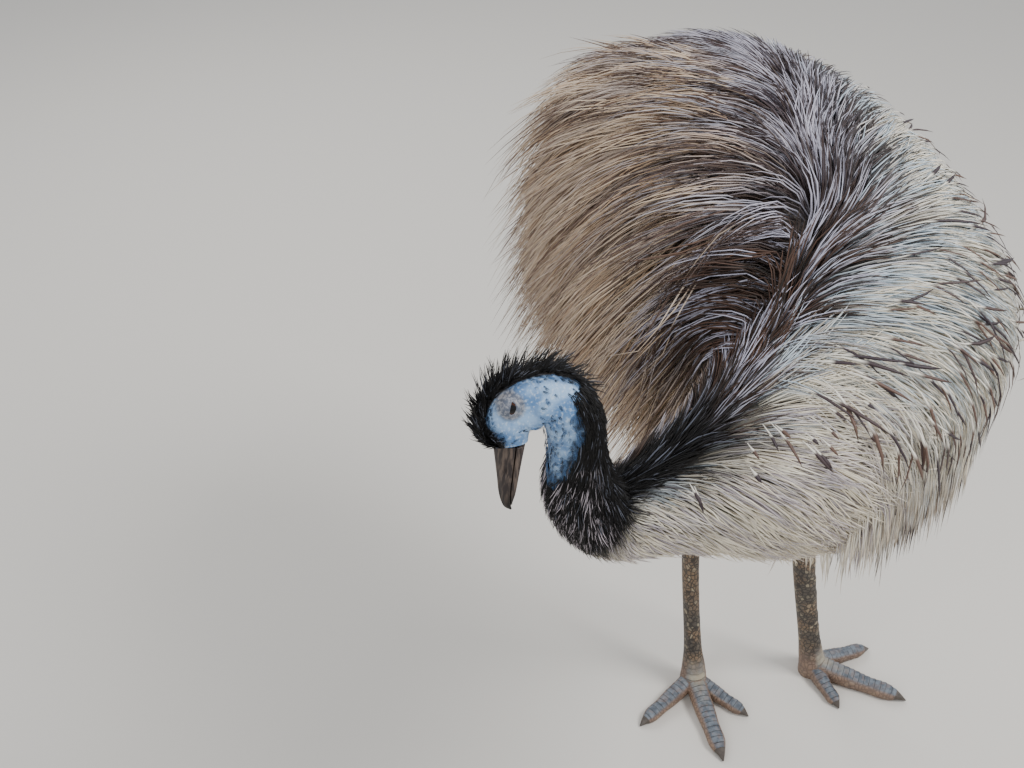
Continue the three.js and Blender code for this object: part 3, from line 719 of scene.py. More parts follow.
# %% [markdown]
# One tuft is a few slender strands side by side, each with three flat faces round it and a
# pointed tip. They are made once, as shares of length, width and thickness, in several variants.

# %% Tuft variants
STRAND_RINGS = [0.0, 0.28, 0.55, 0.8]
STRAND_WIDTHS = [0.8, 1.0, 0.85, 0.5]
LANCE_WIDTHS = [0.2, 0.45, 1.0, 0.8]


def tuft_variant(name, seed, strands, widths, loose=1.0, profile=STRAND_WIDTHS):
    dice = np.random.default_rng(seed)
    share, side, rise, strand, faces = [], [], [], [], []
    for number in range(strands):
        start = (number + 0.5) / strands - 0.5
        spread = start * 1.1 + dice.uniform(-0.12, 0.12) * loose
        finish = start * dice.uniform(0.3, 1.5) + dice.uniform(-0.3, 0.3) * loose
        reach = dice.uniform(0.66, 1.0)
        width = dice.uniform(*widths)
        height = dice.uniform(-0.5, 0.5)
        tone = dice.uniform(-0.5, 0.5)
        first = len(share)
        for ring, fat in zip(STRAND_RINGS, profile):
            middle = np.interp(ring, [0, 0.5, 1], [start * 0.7, spread, finish])
            for dx, dz in ((-1, -0.3), (1, -0.3), (0, 0.7)):
                share.append(ring * reach)
                side.append(middle + dx * width * fat)
                rise.append(height * ring + dz * fat)
        share.append(reach)
        side.append(finish)
        rise.append(height)
        strand += [tone] * (len(share) - first)
        top, tip = first + 3 * (len(STRAND_RINGS) - 1), len(share) - 1
        for low in range(first, top, 3):
            faces += [[low + k, low + (k + 1) % 3, low + (k + 1) % 3 + 3, low + k + 3] for k in range(3)]
        faces += [[top, top + 1, tip], [top + 1, top + 2, tip], [top + 2, top, tip]]
        faces.append([first + 2, first + 1, first])
    share, side, rise, strand = (np.array(v, float) for v in (share, side, rise, strand))
    kept = {"share": share, "side": side, "rise": rise, "strand": strand}
    return new_object(name, np.stack([side, share, rise], 1), faces, kept)


def kept_apart(name, objects):
    """A collection that the scene doesn't show."""
    box = bpy.data.collections.new(name)
    for obj in objects:
        bpy.context.scene.collection.objects.unlink(obj)
        box.objects.link(obj)
    return box


VARIANTS = 4


def tuft_kind(name, seed, *values):
    return kept_apart(f"{name}s", [tuft_variant(f"{name}_{k}", seed + k, *values) for k in range(VARIANTS)])


tufts = tuft_kind("tuft", 100, 3, (0.06, 0.11))
quills = tuft_kind("quill", 200, 1, (0.9, 1.0), 0.0)
lances = tuft_kind("lance", 300, 1, (0.7, 1.0), 0.0, LANCE_WIDTHS)

# %% [markdown]
# The dressing tree takes the paths as bare points, a fixed number for each tuft, and puts a tuft
# on each first point. Every corner of a tuft then looks up its own place along its path: the two
# nearest path points are read by number and mixed, and the corner is set across and above it.

# %% Dressing tree
PATH_STEPS = 7


def dress_tree(steps):
    tree, ids, n, given = group_tree(
        f"dress_{steps}",
        {
            "Tufts": ("NodeSocketCollection", None),
            "Seed": ("NodeSocketInt", 5),
            "Patch": ("NodeSocketFloat", 0.003),
            "Finish": ("NodeSocketMaterial", None),
        },
    )
    paths = given["Geometry"]
    below = {"data_type": "FLOAT", "operation": "LESS_THAN"}
    first = n.add("FunctionNodeCompare", below, {"A": read_attribute(n, "step"), "B": 0.5})
    chosen = {"Geometry": paths, "Selection": first}
    roots = n.add("GeometryNodeSeparateGeometry", {"domain": "POINT"}, chosen)
    roots = n.add("GeometryNodeMeshToPoints", {}, {"Mesh": roots})
    shelf = {"Collection": given["Tufts"], "Separate Children": True, "Reset Children": True}
    kinds = n.add("GeometryNodeCollectionInfo", {}, shelf)
    span = {"Min": 0, "Max": VARIANTS - 1, "Seed": given["Seed"]}
    pick = n.add("FunctionNodeRandomValue", {"data_type": "INT"}, span)
    planting = {"Points": roots, "Instance": kinds, "Pick Instance": True, "Instance Index": pick}
    placed = n.add("GeometryNodeInstanceOnPoints", {}, planting)
    real = n.add("GeometryNodeRealizeInstances", {}, {"Geometry": placed})
    share = read_attribute(n, "share")
    side = read_attribute(n, "side")
    along = share * (steps * 0.9999)
    whole = along.calc("FLOOR", along)
    part = along - whole
    number = read_attribute(n, "tuft") * (steps + 1) + whole

    def sample(value):
        how, asked = {"data_type": "FLOAT_VECTOR", "clamp": True}, {"Geometry": paths, "Value": value}
        near, far = (
            n.add("GeometryNodeSampleIndex", how, asked | {"Index": number + ahead}) for ahead in (0.0, 1.0)
        )
        return near + (far - near) * part

    def store(geometry, name, value, kind, domain):
        values = {"Geometry": geometry, "Name": name, "Value": value}
        return n.add("GeometryNodeStoreNamedAttribute", {"data_type": kind, "domain": domain}, values)

    place = sample(n.add("GeometryNodeInputPosition"))
    out = sample(read_attribute(n, "out", "FLOAT_VECTOR"))
    way = sample(read_attribute(n, "way", "FLOAT_VECTOR"))
    across = way.calc("CROSS_PRODUCT", way, out)
    across = across.calc("NORMALIZE", across)
    place = place + across * (side * read_attribute(n, "wide"))
    place = place + out * (read_attribute(n, "rise") * read_attribute(n, "deep"))
    real = n.add("GeometryNodeSetPosition", {}, {"Geometry": real, "Position": place})
    first_two = n.add("ShaderNodeCombineXYZ", {}, {0: 1.0, 1: 1.0, 2: 0.0})
    tint = read_attribute(n, "tint", "FLOAT_VECTOR") + read_attribute(n, "strand") * 0.5 * first_two
    real = store(real, "tint", tint, "FLOAT_VECTOR", "POINT")
    patch = given["Patch"]
    offset = n.add("ShaderNodeCombineXYZ", {}, {0: side * patch * 0.7, 1: (share - 0.5) * patch})
    real = store(real, "OFBake", read_attribute(n, "unwrap", "FLOAT_VECTOR") + offset, "FLOAT2", "CORNER")
    real = n.add("GeometryNodeSetMaterial", {}, {"Geometry": real, "Material": given["Finish"]})
    finish_tree(tree, real)
    return tree, ids


trees = {steps: dress_tree(steps) for steps in (PATH_STEPS, 4)}
SPARE = ("side", "rise", "strand", "out", "way", "tuft", "step", "wide", "deep", "unwrap", "thick")


def drop_attributes(mesh, names):
    for name in names:
        if name in mesh.attributes:
            mesh.attributes.remove(mesh.attributes[name])


# %% Dressing a field
MOST_TUFTS = 2800  # in one piece, which keeps it under 200,000 triangles
pieces = []


def dress(name, roots, lie, size, seed, finish=coat_material, kinds=tufts):
    """Coat pieces from roots: traces the paths, lifts them off the skin and dresses them."""
    path, where, unwrap = roots
    dice = np.random.default_rng(seed)
    t, angle = path[:, 0], path[:, 1]
    length = at(size["length"], t, angle) * dice.uniform(0.55, 1.2, len(t))
    places, outs, ways = trace(lie["form"], t, angle, length, lie, dice)
    shares = np.linspace(0, 1, lie["steps"] + 1)[:, None, None]
    lift = at(size["lift"], t, angle) * dice.uniform(0.4, 1.0, len(t))
    places = places + outs * (size["base"] + lift[None, :, None] * shares ** size["rise"])
    if lie["hem"]:
        places, outs, ways = drawn_up(places, outs, ways, dice)
    tint = dice.uniform(0, 1, (len(t), 3))
    wide = size["wide"] * dice.uniform(0.75, 1.25, len(t)) * MM
    order = np.lexsort((t, where[:, 1] > 0))
    tree, ids = trees[lie["steps"]]
    across = lie["steps"] + 1
    fixed = {"wide": wide, "deep": wide * size["flat"], "tint": tint, "where": where, "unwrap": unwrap}
    for number, chosen in enumerate(np.array_split(order, math.ceil(len(t) / MOST_TUFTS))):
        spot, out, way = (v[:, chosen].transpose(1, 0, 2).reshape(-1, 3) for v in (places, outs, ways))
        carried = {key: np.repeat(values[chosen], across, axis=0) for key, values in fixed.items()}
        carried["step"] = np.tile(np.arange(across, dtype=float), len(chosen))
        carried["tuft"] = np.repeat(np.arange(len(chosen), dtype=float), across)
        guide = new_object("guide", spot, [], carried | {"out": out, "way": way})
        mesh = evaluated_mesh(guide, tree, {ids["Tufts"]: kinds, ids["Finish"]: finish, ids["Seed"]: seed})
        bpy.data.objects.remove(guide)
        drop_attributes(mesh, SPARE)
        pieces.append(shown(f"{name}_{number + 1}", mesh))
        print(pieces[-1].name, "tufts:", len(chosen), "triangles:", triangles(mesh))


def field(name, thick, density, seeds, lie, size, finish=coat_material, kinds=tufts):
    """A field of the coat on the body: sown by how thick it stands, then dressed."""
    roots = sow(body_skin, thick, density * fewer, seeds[0], name)
    dress(name, roots, lie, size, seeds[1], finish, kinds)


fewer = 1.0

# %% [markdown]
# The trunk's coat is long and loose. It parts on the back, sweeps back and out, and hangs down
# the flanks. It is longest and fullest on the bird's right, and shorter over the shoulders.

# %% Coat of the trunk
def trunk_back(t, angle):
    """Feathers sweep back, but over the right shoulder they fall straight out."""
    right = 1 - smooth(angle - parting(t), -0.1, 0.1)
    return 0.75 - 0.6 * right * smooth(t, 4.2, 5.4)


TRUNK_LIE = {
    "form": body, "steps": PATH_STEPS, "parting": parting, "back": trunk_back, "out": 0.75, "fall": 1.3,
    "soft": 0.3, "let_go": -0.2, "end": 0.75, "droop": 0.45, "sway": 0.08, "hem": True,
}


def trunk_length(t, angle):
    away = np.abs(angle - parting(t))
    right = smooth(-angle, 0.6, 1.4)
    return 95 + 40 * smooth(away, 0.3, 1.2) + 65 * right - 30 * smooth(t, 5.6, 6.8) * (1 - right)


def trunk_lift(t, angle):
    right = smooth(-angle, 0.2, 0.9) * smooth(t, 0.4, 2.6) * (1 - smooth(t, 5.8, 6.8))
    return 20 + 125 * right


trunk_thick = (1 - smooth(grid_t, 6.4, 7.0)) * smooth(grid_t, 0.02, 0.3)
trunk_thick *= 1 - 0.8 * smooth(from_back, 2.3, 2.9)
TRUNK_SIZE = {
    "length": trunk_length, "lift": trunk_lift, "base": 1.0, "rise": 0.8, "wide": 10.0, "flat": 0.1,
}
field("coat_trunk", trunk_thick, 20500, (3, 21), TRUNK_LIE, TRUNK_SIZE)

# %% [markdown]
# Single feathers lie loose on the pale left side. Each is thin and pale at its root, then dark,
# widest past its middle and pointed, as a lance is. They are sown thinly and lie over the coat.

# %% Dark lances
def lance_finish(n):
    share = n.attribute("share")
    dice = n.apart(n.attribute("tint", "Vector"))[0]
    tip = n.mix(n.fade(dice, 0.2, 0.9), DARK_TIP, UMBER)
    return {"Base Color": n.mix(n.fade(share, 0.32, 0.42), SILVER, tip), "Roughness": 0.55}


lance_material = material("lance", lance_finish)
lance_end = 1.2 - 0.5 * smooth(grid_t, 5.8, 7)
lance_thick = smooth(grid_angle - parting(grid_t), 0.35, 0.8) * smooth(grid_t, 2.2, 3.2)
lance_thick *= (1 - smooth(grid_t, 7.6, 8.2)) * (1 - smooth(grid_angle, lance_end, lance_end + 0.4))
LANCE_LIE = TRUNK_LIE | {"sway": 0.22}
LANCE_SIZE = {
    "length": lambda t, angle: 85 - 20 * smooth(t, 6, 7.5),
    "lift": 16, "base": 12.0, "rise": 0.8, "wide": 1.9, "flat": 0.35,
}
field("lances", lance_thick, 3200, (15, 25), LANCE_LIE, LANCE_SIZE, lance_material, lances)

# %% [markdown]
# Neck feathers are short and hair-like. They lie back towards the shoulders and turn black, and
# grow shorter and finer towards the head.

# %% Coat of the neck
NECK_LIE = {
    "form": body, "steps": 4, "parting": parting, "back": 1, "out": 0.3, "fall": 0.5,
    "soft": 0.3, "let_go": -2.0, "end": 0.0, "droop": 0.3, "sway": 0.1, "hem": False,
}
NECK_SIZE = {
    "length": lambda t, angle: 88 - 50 * smooth(t, 6.8, 9.3),
    "lift": lambda t, angle: 18 - 8 * smooth(t, 7, 9.3),
    "base": 0.6, "rise": 0.9, "wide": 9.0, "flat": 0.12,
}
low_thick = smooth(grid_t, 6.3, 6.8) * (1 - smooth(grid_t, 9.2, 9.8))
field("coat_neck", low_thick, 24000, (5, 31), NECK_LIE, NECK_SIZE)

# %% [markdown]
# Dense black hair covers the nape. It reaches round the neck lower down, and leaves the blue skin
# of the throat and cheeks free towards the head.

# %% Nape
nape_thick = smooth(grid_t, 9.0, 9.6) * (1 - smooth(grid_t, 12.5, 13.0))
nape_thick *= 1 - smooth(from_back, black_edge - 0.35, black_edge + 0.15)
NAPE_SIZE = {
    "length": lambda t, angle: 32 - 12 * smooth(t, 10, 12.5),
    "lift": lambda t, angle: 12 - 6 * smooth(t, 10, 11.5),
    "base": 0.3, "rise": 0.9, "wide": 5.0, "flat": 0.12,
}
field("coat_nape", nape_thick, 150000, (7, 41), NECK_LIE, NAPE_SIZE)

# %% [markdown]
# The crown and forehead wear a cap of short black hair, with longer spikes that stand up from it
# and let the light through. Two fields make this: a dense low one, and a thin one lifted steeply.

# %% Crest and forehead
crest_thick = smooth(grid_t, 12.3, 12.8) * (1 - smooth(from_back, crown_edge - 0.25, crown_edge))
CREST_LIE = NECK_LIE | {"sway": 0.25}
CREST_SIZE = {
    "length": lambda t, angle: 12 + 3 * smooth(t, 15.5, 16.5),
    "lift": lambda t, angle: 7 + 4 * smooth(t, 15.5, 16.5),
    "base": 0.1, "rise": 1.0, "wide": 3.6, "flat": 0.15,
}
field("coat_crest", crest_thick, 430000, (9, 43), CREST_LIE, CREST_SIZE)

# %% Spikes of the crest
SPIKE_SIZE = {
    "length": 15, "lift": lambda t, angle: 26 - 8 * smooth(t, 15.0, 16.0),
    "base": 0.1, "rise": 1.0, "wide": 5.0, "flat": 0.15,
}
field("coat_crest_spikes", crest_thick, 60000, (19, 45), CREST_LIE, SPIKE_SIZE)

# %% [markdown]
# The blue skin of the face and throat isn't quite bare: short dark bristles stand on it, thin on
# the cheek and thicker towards the nape. They keep clear of the eye, the ear and the bill.

# %% Bristles of the face
EYE_SPOT, EAR_SPOT = (EYE["forward"], EYE["out"], EYE["up"]), (EAR["forward"], 24, EAR["up"])
face_thick = np.where(grid_t > 9.6, naked, 0) * (1 - smooth(grid_t, 16.6, 16.9))
for side in (-1, 1):
    for (forward, out, up), reach in ((EYE_SPOT, 15.0), (EAR_SPOT, 6.0)):
        spot = in_head(forward, side * out, up)
        face_thick *= np.linalg.norm(skin_points - spot, axis=1) > reach
face_thick *= (1 - 0.6 * smooth(grid_t, 12.0, 13.0)) * (0.5 + 3.5 * rim)


def bristle_finish(n):
    dice = n.apart(n.attribute("tint", "Vector"))[0]
    grain = n.noise(n.place(), 600, 2)
    return {"Base Color": n.mix(n.fade(dice + 0.3 * grain, 0.4, 1.1), SOOT, DEEP_BLUE), "Roughness": 0.5}


bristle_material = material("bristle", bristle_finish)
FACE_LIE = NECK_LIE | {"sway": 0.3}
FACE_SIZE = {
    "length": lambda t, angle: 6 + 5 * (1 - smooth(t, 10, 12)),
    "lift": 2.2, "base": 0.0, "rise": 1.0, "wide": 2.1, "flat": 0.1,
}
field("coat_face", face_thick, 90000, (11, 47), FACE_LIE, FACE_SIZE, bristle_material)

# %% [markdown]
# The wings are tiny and hang against the flanks, each ending in a few bare quills that stick out
# of the coat. A quill is one tapered shaft, sent along a path as a tuft is.

# %% Wing quills
WING = {"t": 4.75, "near": 0.16, "reach": 0.8, "left": 1.5, "right": -1.85, "count": 11}
QUILL_LIE = TRUNK_LIE | {
    "back": 1, "out": 0.1, "fall": 0.35, "let_go": -2.0, "end": 0.0, "sway": 0.2,
}


HORN, OLD_HORN = paint("d9cfbb"), paint("9c8b76")


def quill_finish(n):
    share = n.attribute("share")
    streak = n.noise(n.place(), 260, 3)
    shaft = n.mix(n.fade(streak, 0.35, 0.7), HORN, OLD_HORN)
    return {"Base Color": n.mix(n.fade(share, 0.5, 0.95) * 0.8, shaft, BARK), "Roughness": 0.45}


quill_material = material("quill", quill_finish)
QUILL_SIZE = {"length": 145, "lift": 34, "base": 40.0, "rise": 0.7, "wide": 1.7, "flat": 0.9}


def wing_roots(angle, seed):
    dice = np.random.default_rng(seed)
    reach = WING["reach"] if angle > 0 else WING["near"]
    t = WING["t"] + dice.uniform(-WING["near"], reach, WING["count"])
    angles = angle * (1 - 0.4 * (t - WING["t"])) + dice.uniform(-0.09, 0.09, WING["count"])
    nothing = 0 * t
    path = np.stack([t, angles, nothing], 1)
    where = np.stack([t, angles - parting(t), angles], 1)
    unwrap = np.stack([(angles / (2 * np.pi) + 0.5) * BODY_WIDTH, t / body.end, nothing], 1)
    return path, where, unwrap


for side in ("left", "right"):
    dress(f"quills_{side}", wing_roots(WING[side], 61), QUILL_LIE, QUILL_SIZE, 63, quill_material, quills)

# %% [markdown]
# A leg is a second bent form, from the hip to the sole, and each toe is a third kind, laid along
# the floor. Their grids are closed and joined to the skin as one piece.

# %% Leg forms
TOE_SIZES = {"middle": 1.0, "outer": 0.85, "inner": 0.8}
CLAW_SHARE = 0.87
LEGS = {
    "right": {
        "rows": [
            [-162, 0, 800, 58, 80, 85], [-160, -12, 690, 58, 78, 84], [-146, -15, 605, 50, 64, 68],
            [-124, 5, 515, 38, 46, 48], [-103, 30, 440, 26, 28, 32], [-95, 38, 392, 21, 25, 28],
            [-92, 31, 355, 15, 18, 20], [-88, 12, 230, 13, 17, 18], [-80, -8, 100, 14, 17, 18],
            [-77, -17, 48, 19, 20, 20], [-77, -21, 20, 22, 24, 19], [-77, -21, -8, 20, 22, 17],
        ],
        "facing": [-0.2, -0.98, 0],
        "toes": {"middle": [-99, -172], "outer": [-196, -68], "inner": [-20, -112]},
    },
    "left": {
        "rows": [
            [-18, -30, 800, 58, 80, 85], [-15, -45, 690, 60, 80, 85], [2, -58, 600, 54, 68, 72],
            [18, -58, 515, 38, 46, 48], [43, -50, 440, 26, 28, 32], [49, -46, 392, 21, 25, 28],
            [57, -48, 355, 15, 18, 20], [81, -53, 230, 13, 17, 18], [110, -58, 100, 14, 17, 18],
            [122, -60, 48, 19, 20, 20], [125, -62, 20, 22, 24, 19], [125, -62, -8, 20, 22, 17],
        ],
        "facing": [0.73, -0.68, 0],
        "toes": {"middle": [242, -175], "outer": [246, -62], "inner": [129, -150]},
    },
}
TOE_STATIONS = [
    # share of the toe, height, half width, up, down
    [0, 24, 17, 15, 36], [0.2, 19, 16, 14, 29], [0.42, 15, 16, 13, 23], [0.6, 12, 14, 11, 18],
    [0.78, 11, 14, 11, 17], [CLAW_SHARE, 9, 10, 9, 14], [0.92, 7.5, 7, 6, 6], [1, 3.2, 1, 1, 1],
]
T_HOCK = 4.7


def toe_form(start, tip, size):
    rows = [
        [
            start[0] + (tip[0] - start[0]) * share,
            start[1] + (tip[1] - start[1]) * share,
            height * (1 + (size - 1) * share),
            side * size,
            up * size,
            down * size,
        ]
        for share, height, side, up, down in TOE_STATIONS
    ]
    return Form(rows, [[0, 0, 1]] * len(rows))


def tube(form, start, stop, rows, columns, relief=None, floor=0.0):
    """A closed grid over part of a form, kept above the floor: points, faces, t and angle."""
    t = np.repeat(np.linspace(start, stop, rows), columns)
    angle = np.tile(np.arange(columns) / columns * 2 * np.pi - np.pi, rows)
    lift = relief(t, angle) if relief else 0.0
    points = form.point(t, angle, lift)
    points[:, 2] = np.maximum(points[:, 2], floor)
    return points, closed_faces(rows, columns), t, angle


def plates(distance, angle, pitch, height):
    """Overlapping plates across the front of a leg or toe."""
    front = 1 - smooth(np.abs(angle), 0.85, 1.4)
    return height * front * ((distance / pitch) % 1.0 - 0.5)


# %% [markdown]
# Scales: the front of the shank and the tops of the toes carry broad plates, the sides a net of
# small ones with dark joints. The pattern is drawn with cells stretched round the leg.

# %% Scale finish
OLIVE, OCHRE, BLUE_SCALE, JOINT = paint("4a423a"), paint("75604a"), paint("676e76"), paint("1d1815")
PALE_SCUTE, SLATE_SCALE, TOE_TAN = paint("b9ac90"), paint("363c46"), paint("8f7464")


def scale_finish(n):
    place = n.place()
    stretched = n.add("ShaderNodeMapping", {}, {"Vector": place, "Scale": (1.0, 1.0, 0.8)})
    net_size = {"Vector": stretched, "Scale": 150}
    cells = n.add("ShaderNodeTexVoronoi", {"feature": "DISTANCE_TO_EDGE"}, net_size)
    hue = n.apart(n.add("ShaderNodeTexVoronoi", {}, net_size, "Color"))[0]
    low = 1 - n.fade(n.apart(place)[2], 0.035, 0.085)
    front = n.attribute("front")
    plate = n.attribute("plate") + 0.15 * n.noise(place, 60, 2)
    seam = 1 - n.fade(plate.calc("FRACT", plate), 0.03, 0.16)
    shade = n.fade(n.noise(place, 28, 3), 0.38, 0.62)
    net = n.mix(shade, OLIVE, OCHRE)
    net = n.mix(low * 0.6, net, TOE_TAN)
    net = n.mix(n.fade(hue, 0.7, 1.0) * (0.4 - 0.3 * low), net, PALE_SCUTE)
    net = n.mix((1 - n.fade(cells, 0.03, 0.18)) * (0.85 - 0.5 * low), net, JOINT)
    ankle = low * n.fade(n.apart(place)[2], 0.026, 0.04) * (0.3 + 0.7 * shade)
    worn = n.fade(n.noise(place, 120, 4), 0.35, 0.65)
    scute = n.mix(low, net, n.mix(0.75 * worn, BLUE_SCALE, SLATE_SCALE))
    scute = n.mix(ankle * 0.7, scute, PALE_SCUTE)
    scute = n.mix(n.fade(hue, 0.5, 1.0) * 0.25 * low, scute, TOE_TAN)
    scute = n.mix(seam * (0.5 + 0.35 * low), scute, JOINT)
    colour = n.mix(front, net, scute)
    height = n.fade(cells, 0.0, 0.25) * (1 - 0.7 * front * low) - 0.8 * seam * front
    height = height + 0.2 * n.noise(place, 900, 3)
    return {"Base Color": colour, "Roughness": 0.55, "Normal": n.relief(height, 0.6, 0.0012)}


scale_material = material("leg_scales", scale_finish)
body_skin.data.materials.append(scale_material)

# %% [markdown]
# Legs and toes are closed grids over their forms, with plates raised on the front of the shank and
# the tops of the toes. Thighs are thinner than their solids, because feathers cover them.

# %% Legs and toes
LEG_COAT = 7.0  # how far the thigh's skin lies inside its solid, which leaves room for feathers
LEG_PITCH, TOE_PITCH = -11.0, 9.0  # from plate to plate, down the leg and along the toe
LEG_GRID, TOE_GRID = (168, 36), (84, 28)
TOE_END = 5.2  # the skin of a toe ends inside its claw
limbs = []
thighs = []


def scaly(name, points, faces, marks, scales):
    """A limb with scales on the faces whose first point has them."""
    limb = new_object(name, points, faces, marks, skin_material)
    limb.data.materials.append(scale_material)
    for face in limb.data.polygons:
        face.material_index = int(scales[face.vertices[0]])
    face_outwards(limb)
    limbs.append(limb)
    return limb


def toe_share(t):
    return np.interp(t, range(len(TOE_STATIONS)), [row[0] for row in TOE_STATIONS])


for number, (side, leg) in enumerate(LEGS.items()):
    form = Form(leg["rows"], [leg["facing"]] * len(leg["rows"]))
    worn = 1.9 if side == "left" else -1.9

    def leg_relief(t, angle, form=form):
        shank = smooth(t, T_HOCK + 0.3, T_HOCK + 0.8)
        height = form.read(form.rows, t)[:, 2]
        return plates(height, angle, LEG_PITCH, 1.5) * shank - LEG_COAT * (1 - smooth(t, 3.6, T_HOCK))

    points, faces, t, angle = tube(form, 0.3, form.end, *LEG_GRID, leg_relief)
    flat = np.zeros_like(t)
    beside = 0.87 + 0.07 * number + (angle / np.pi + 1) * 0.025
    marks = {
        "path": np.stack([t, angle, flat], 1),
        "where": np.stack([flat + 4.0, flat + worn, flat + worn], 1),
        "unwrap": np.stack([beside, t / form.end, flat], 1),
        "naked": flat,
        "front": 1 - smooth(np.abs(angle), 0.7, 1.1),
        "plate": form.read(form.rows, t)[:, 2] / LEG_PITCH,
    }
    limb = scaly(f"leg_{side}", points, faces, marks, t > T_HOCK - 0.1)
    thighs.append((side, form, limb, t))
    foot = leg["rows"][-1][:2]
    for toe, tip in leg["toes"].items():
        shape = toe_form(foot, tip, TOE_SIZES[toe])
        length = math.dist(foot, tip)

        def toe_relief(t, angle, length=length):
            return plates(toe_share(t) * length, angle, TOE_PITCH, 1.3) * smooth(toe_share(t), 0.1, 0.2)

        points, faces, t, angle = tube(shape, 0, TOE_END, *TOE_GRID, toe_relief)
        marks = {"front": 1 - smooth(np.abs(angle), 0.75, 1.0), "plate": toe_share(t) * length / TOE_PITCH}
        scaly(f"toe_{toe}_{side}", points, faces, marks, t >= 0)
print("legs and toes:", len(limbs))

# %% [markdown]
# Short feathers cover the thighs and lie down the leg as far as the hock. They are sown on each
# leg's own grid, before it is joined to the skin.

# %% Thigh feathers
THIGH_LIE = NECK_LIE | {"back": -1, "out": 0.0, "fall": 0.3, "end": -1.0}
THIGH_SIZE = {
    "length": lambda t, angle: 75 - 35 * smooth(t, 2.5, 4.4),
    "lift": 12, "base": 0.5, "rise": 0.9, "wide": 8.0, "flat": 0.12,
}
for side, form, limb, t in thighs:
    name = f"coat_thigh_{side}"
    roots = sow(limb, smooth(t, 0.6, 1.0) * (1 - smooth(t, 4.0, 4.6)), 12000 * fewer, 13, name)
    dress(name, roots, THIGH_LIE | {"form": form}, THIGH_SIZE, 51)

# %% [markdown]
# The skin of trunk, legs and toes is joined into one closed piece with a Boolean union, so that
# no seam shows where a leg leaves the body and no wall is left inside.

# %% One skin
parts = bpy.data.collections.new("limbs")
bpy.context.scene.collection.children.link(parts)
for limb in limbs:
    bpy.context.scene.collection.objects.unlink(limb)
    parts.objects.link(limb)
union = body_skin.modifiers.new("union", "BOOLEAN")
union.operation = "UNION"
union.operand_type = "COLLECTION"
union.collection = parts
union.solver = "MANIFOLD"
bpy.context.view_layer.update()
whole = bpy.data.meshes.new_from_object(body_skin.evaluated_get(bpy.context.evaluated_depsgraph_get()))
for spent in [body_skin, *limbs]:
    bpy.data.objects.remove(spent)
drop_attributes(whole, ("path", "unwrap", "thick"))
skin = shown("skin", whole)
print("skin triangles:", triangles(whole), "materials:", [m.name for m in whole.materials])

# %% [markdown]
# The bill is horn: an upper half with a ridge along its top and a nostril slot in each side, and
# a thinner lower half. Both are grids over short forms set in the head's own frame.

# %% Bill
UPPER_BILL = [
    # forward, up, half width, rise, fall
    [0.5, -1, 17, 15, 1], [14, -1.5, 14, 12.5, 1], [30, -2, 10.5, 9.5, 1],
    [44, -2.5, 7.5, 7, 1], [54, -4, 4, 4, 1.5], [59, -6.5, 0.8, 0.8, 0.8],
]
LOWER_BILL = [
    [0.5, -2.7, 16.4, 1, 9], [14, -3.2, 13.5, 1, 7.5], [30, -3.7, 10, 1, 6],
    [44, -4.2, 7, 1, 4.6], [51, -5.2, 4, 0.8, 2.4], [55, -6.4, 0.6, 0.6, 0.6],
]


BILL_BROWN, BILL_PALE, BILL_BLACK = paint("2f2826"), paint("5e5148"), paint("0f0c0b")


def bill_form(stations):
    rows = [[*in_head(forward, 0, up), *size] for forward, up, *size in stations]
    return Form(rows, [head_up] * len(rows))


def upper_relief(t, angle):
    ridge = 1.0 * np.exp(-((angle / 0.22) ** 2)) * (1 - smooth(t, 4.0, 5.0))
    slot = np.exp(-(((t - 1.55) / 0.3) ** 2) - ((np.abs(angle) - 1.0) / 0.14) ** 2)
    return ridge - 2.6 * slot


def bill_finish(n):
    stretched = n.add("ShaderNodeMapping", {}, {"Vector": n.place(), "Scale": (1.0, 1.0, 0.15)})
    streaks = n.noise(stretched, 320, 4)
    colour = n.mix(n.fade(streaks, 0.4, 0.65), BILL_BROWN, BILL_PALE)
    colour = n.mix(n.fade(n.attribute("reach"), 2.4, 4.2) * 0.9, colour, BILL_BLACK)
    normal = n.relief(streaks, 0.25, 0.0006)
    return {"Base Color": colour, "Roughness": 0.5, "Specular IOR Level": 0.25, "Normal": normal}


bill_material = material("bill", bill_finish)
BILL_GRID = (72, 72)
bills = []
for name, stations, relief in (("bill_top", UPPER_BILL, upper_relief), ("bill_bottom", LOWER_BILL, None)):
    points, faces, t, angle = tube(bill_form(stations), 0, 5, *BILL_GRID, relief)
    piece = new_object(name, points, faces, {"reach": t}, bill_material)
    face_outwards(piece)
    bills.append(piece)

# %% [markdown]
# Only the part of an eye between the lids shows. Each is a full ball with a slight bulge at its
# front, coloured in rings round its axis: the black pupil, the brown iris and a dark rim.

# %% Eyes
EYE_GRID = (48, 64)
IRIS_DARK, IRIS_LIGHT = paint("2e1409"), paint("573016")
PUPIL, EYE_RIM = paint("040303"), paint("120b09")


def eye_finish(n):
    ring = n.attribute("ring")
    fleck = n.noise(n.place(), 900, 3)
    iris = n.mix(n.fade(fleck, 0.4, 0.7), IRIS_DARK, IRIS_LIGHT)
    colour = n.mix(1 - n.fade(ring, 0.38, 0.42), iris, PUPIL)
    colour = n.mix(n.fade(ring, 0.62, 0.7), colour, EYE_RIM)
    return {"Base Color": colour, "Roughness": 0.12, "Specular IOR Level": 0.35}


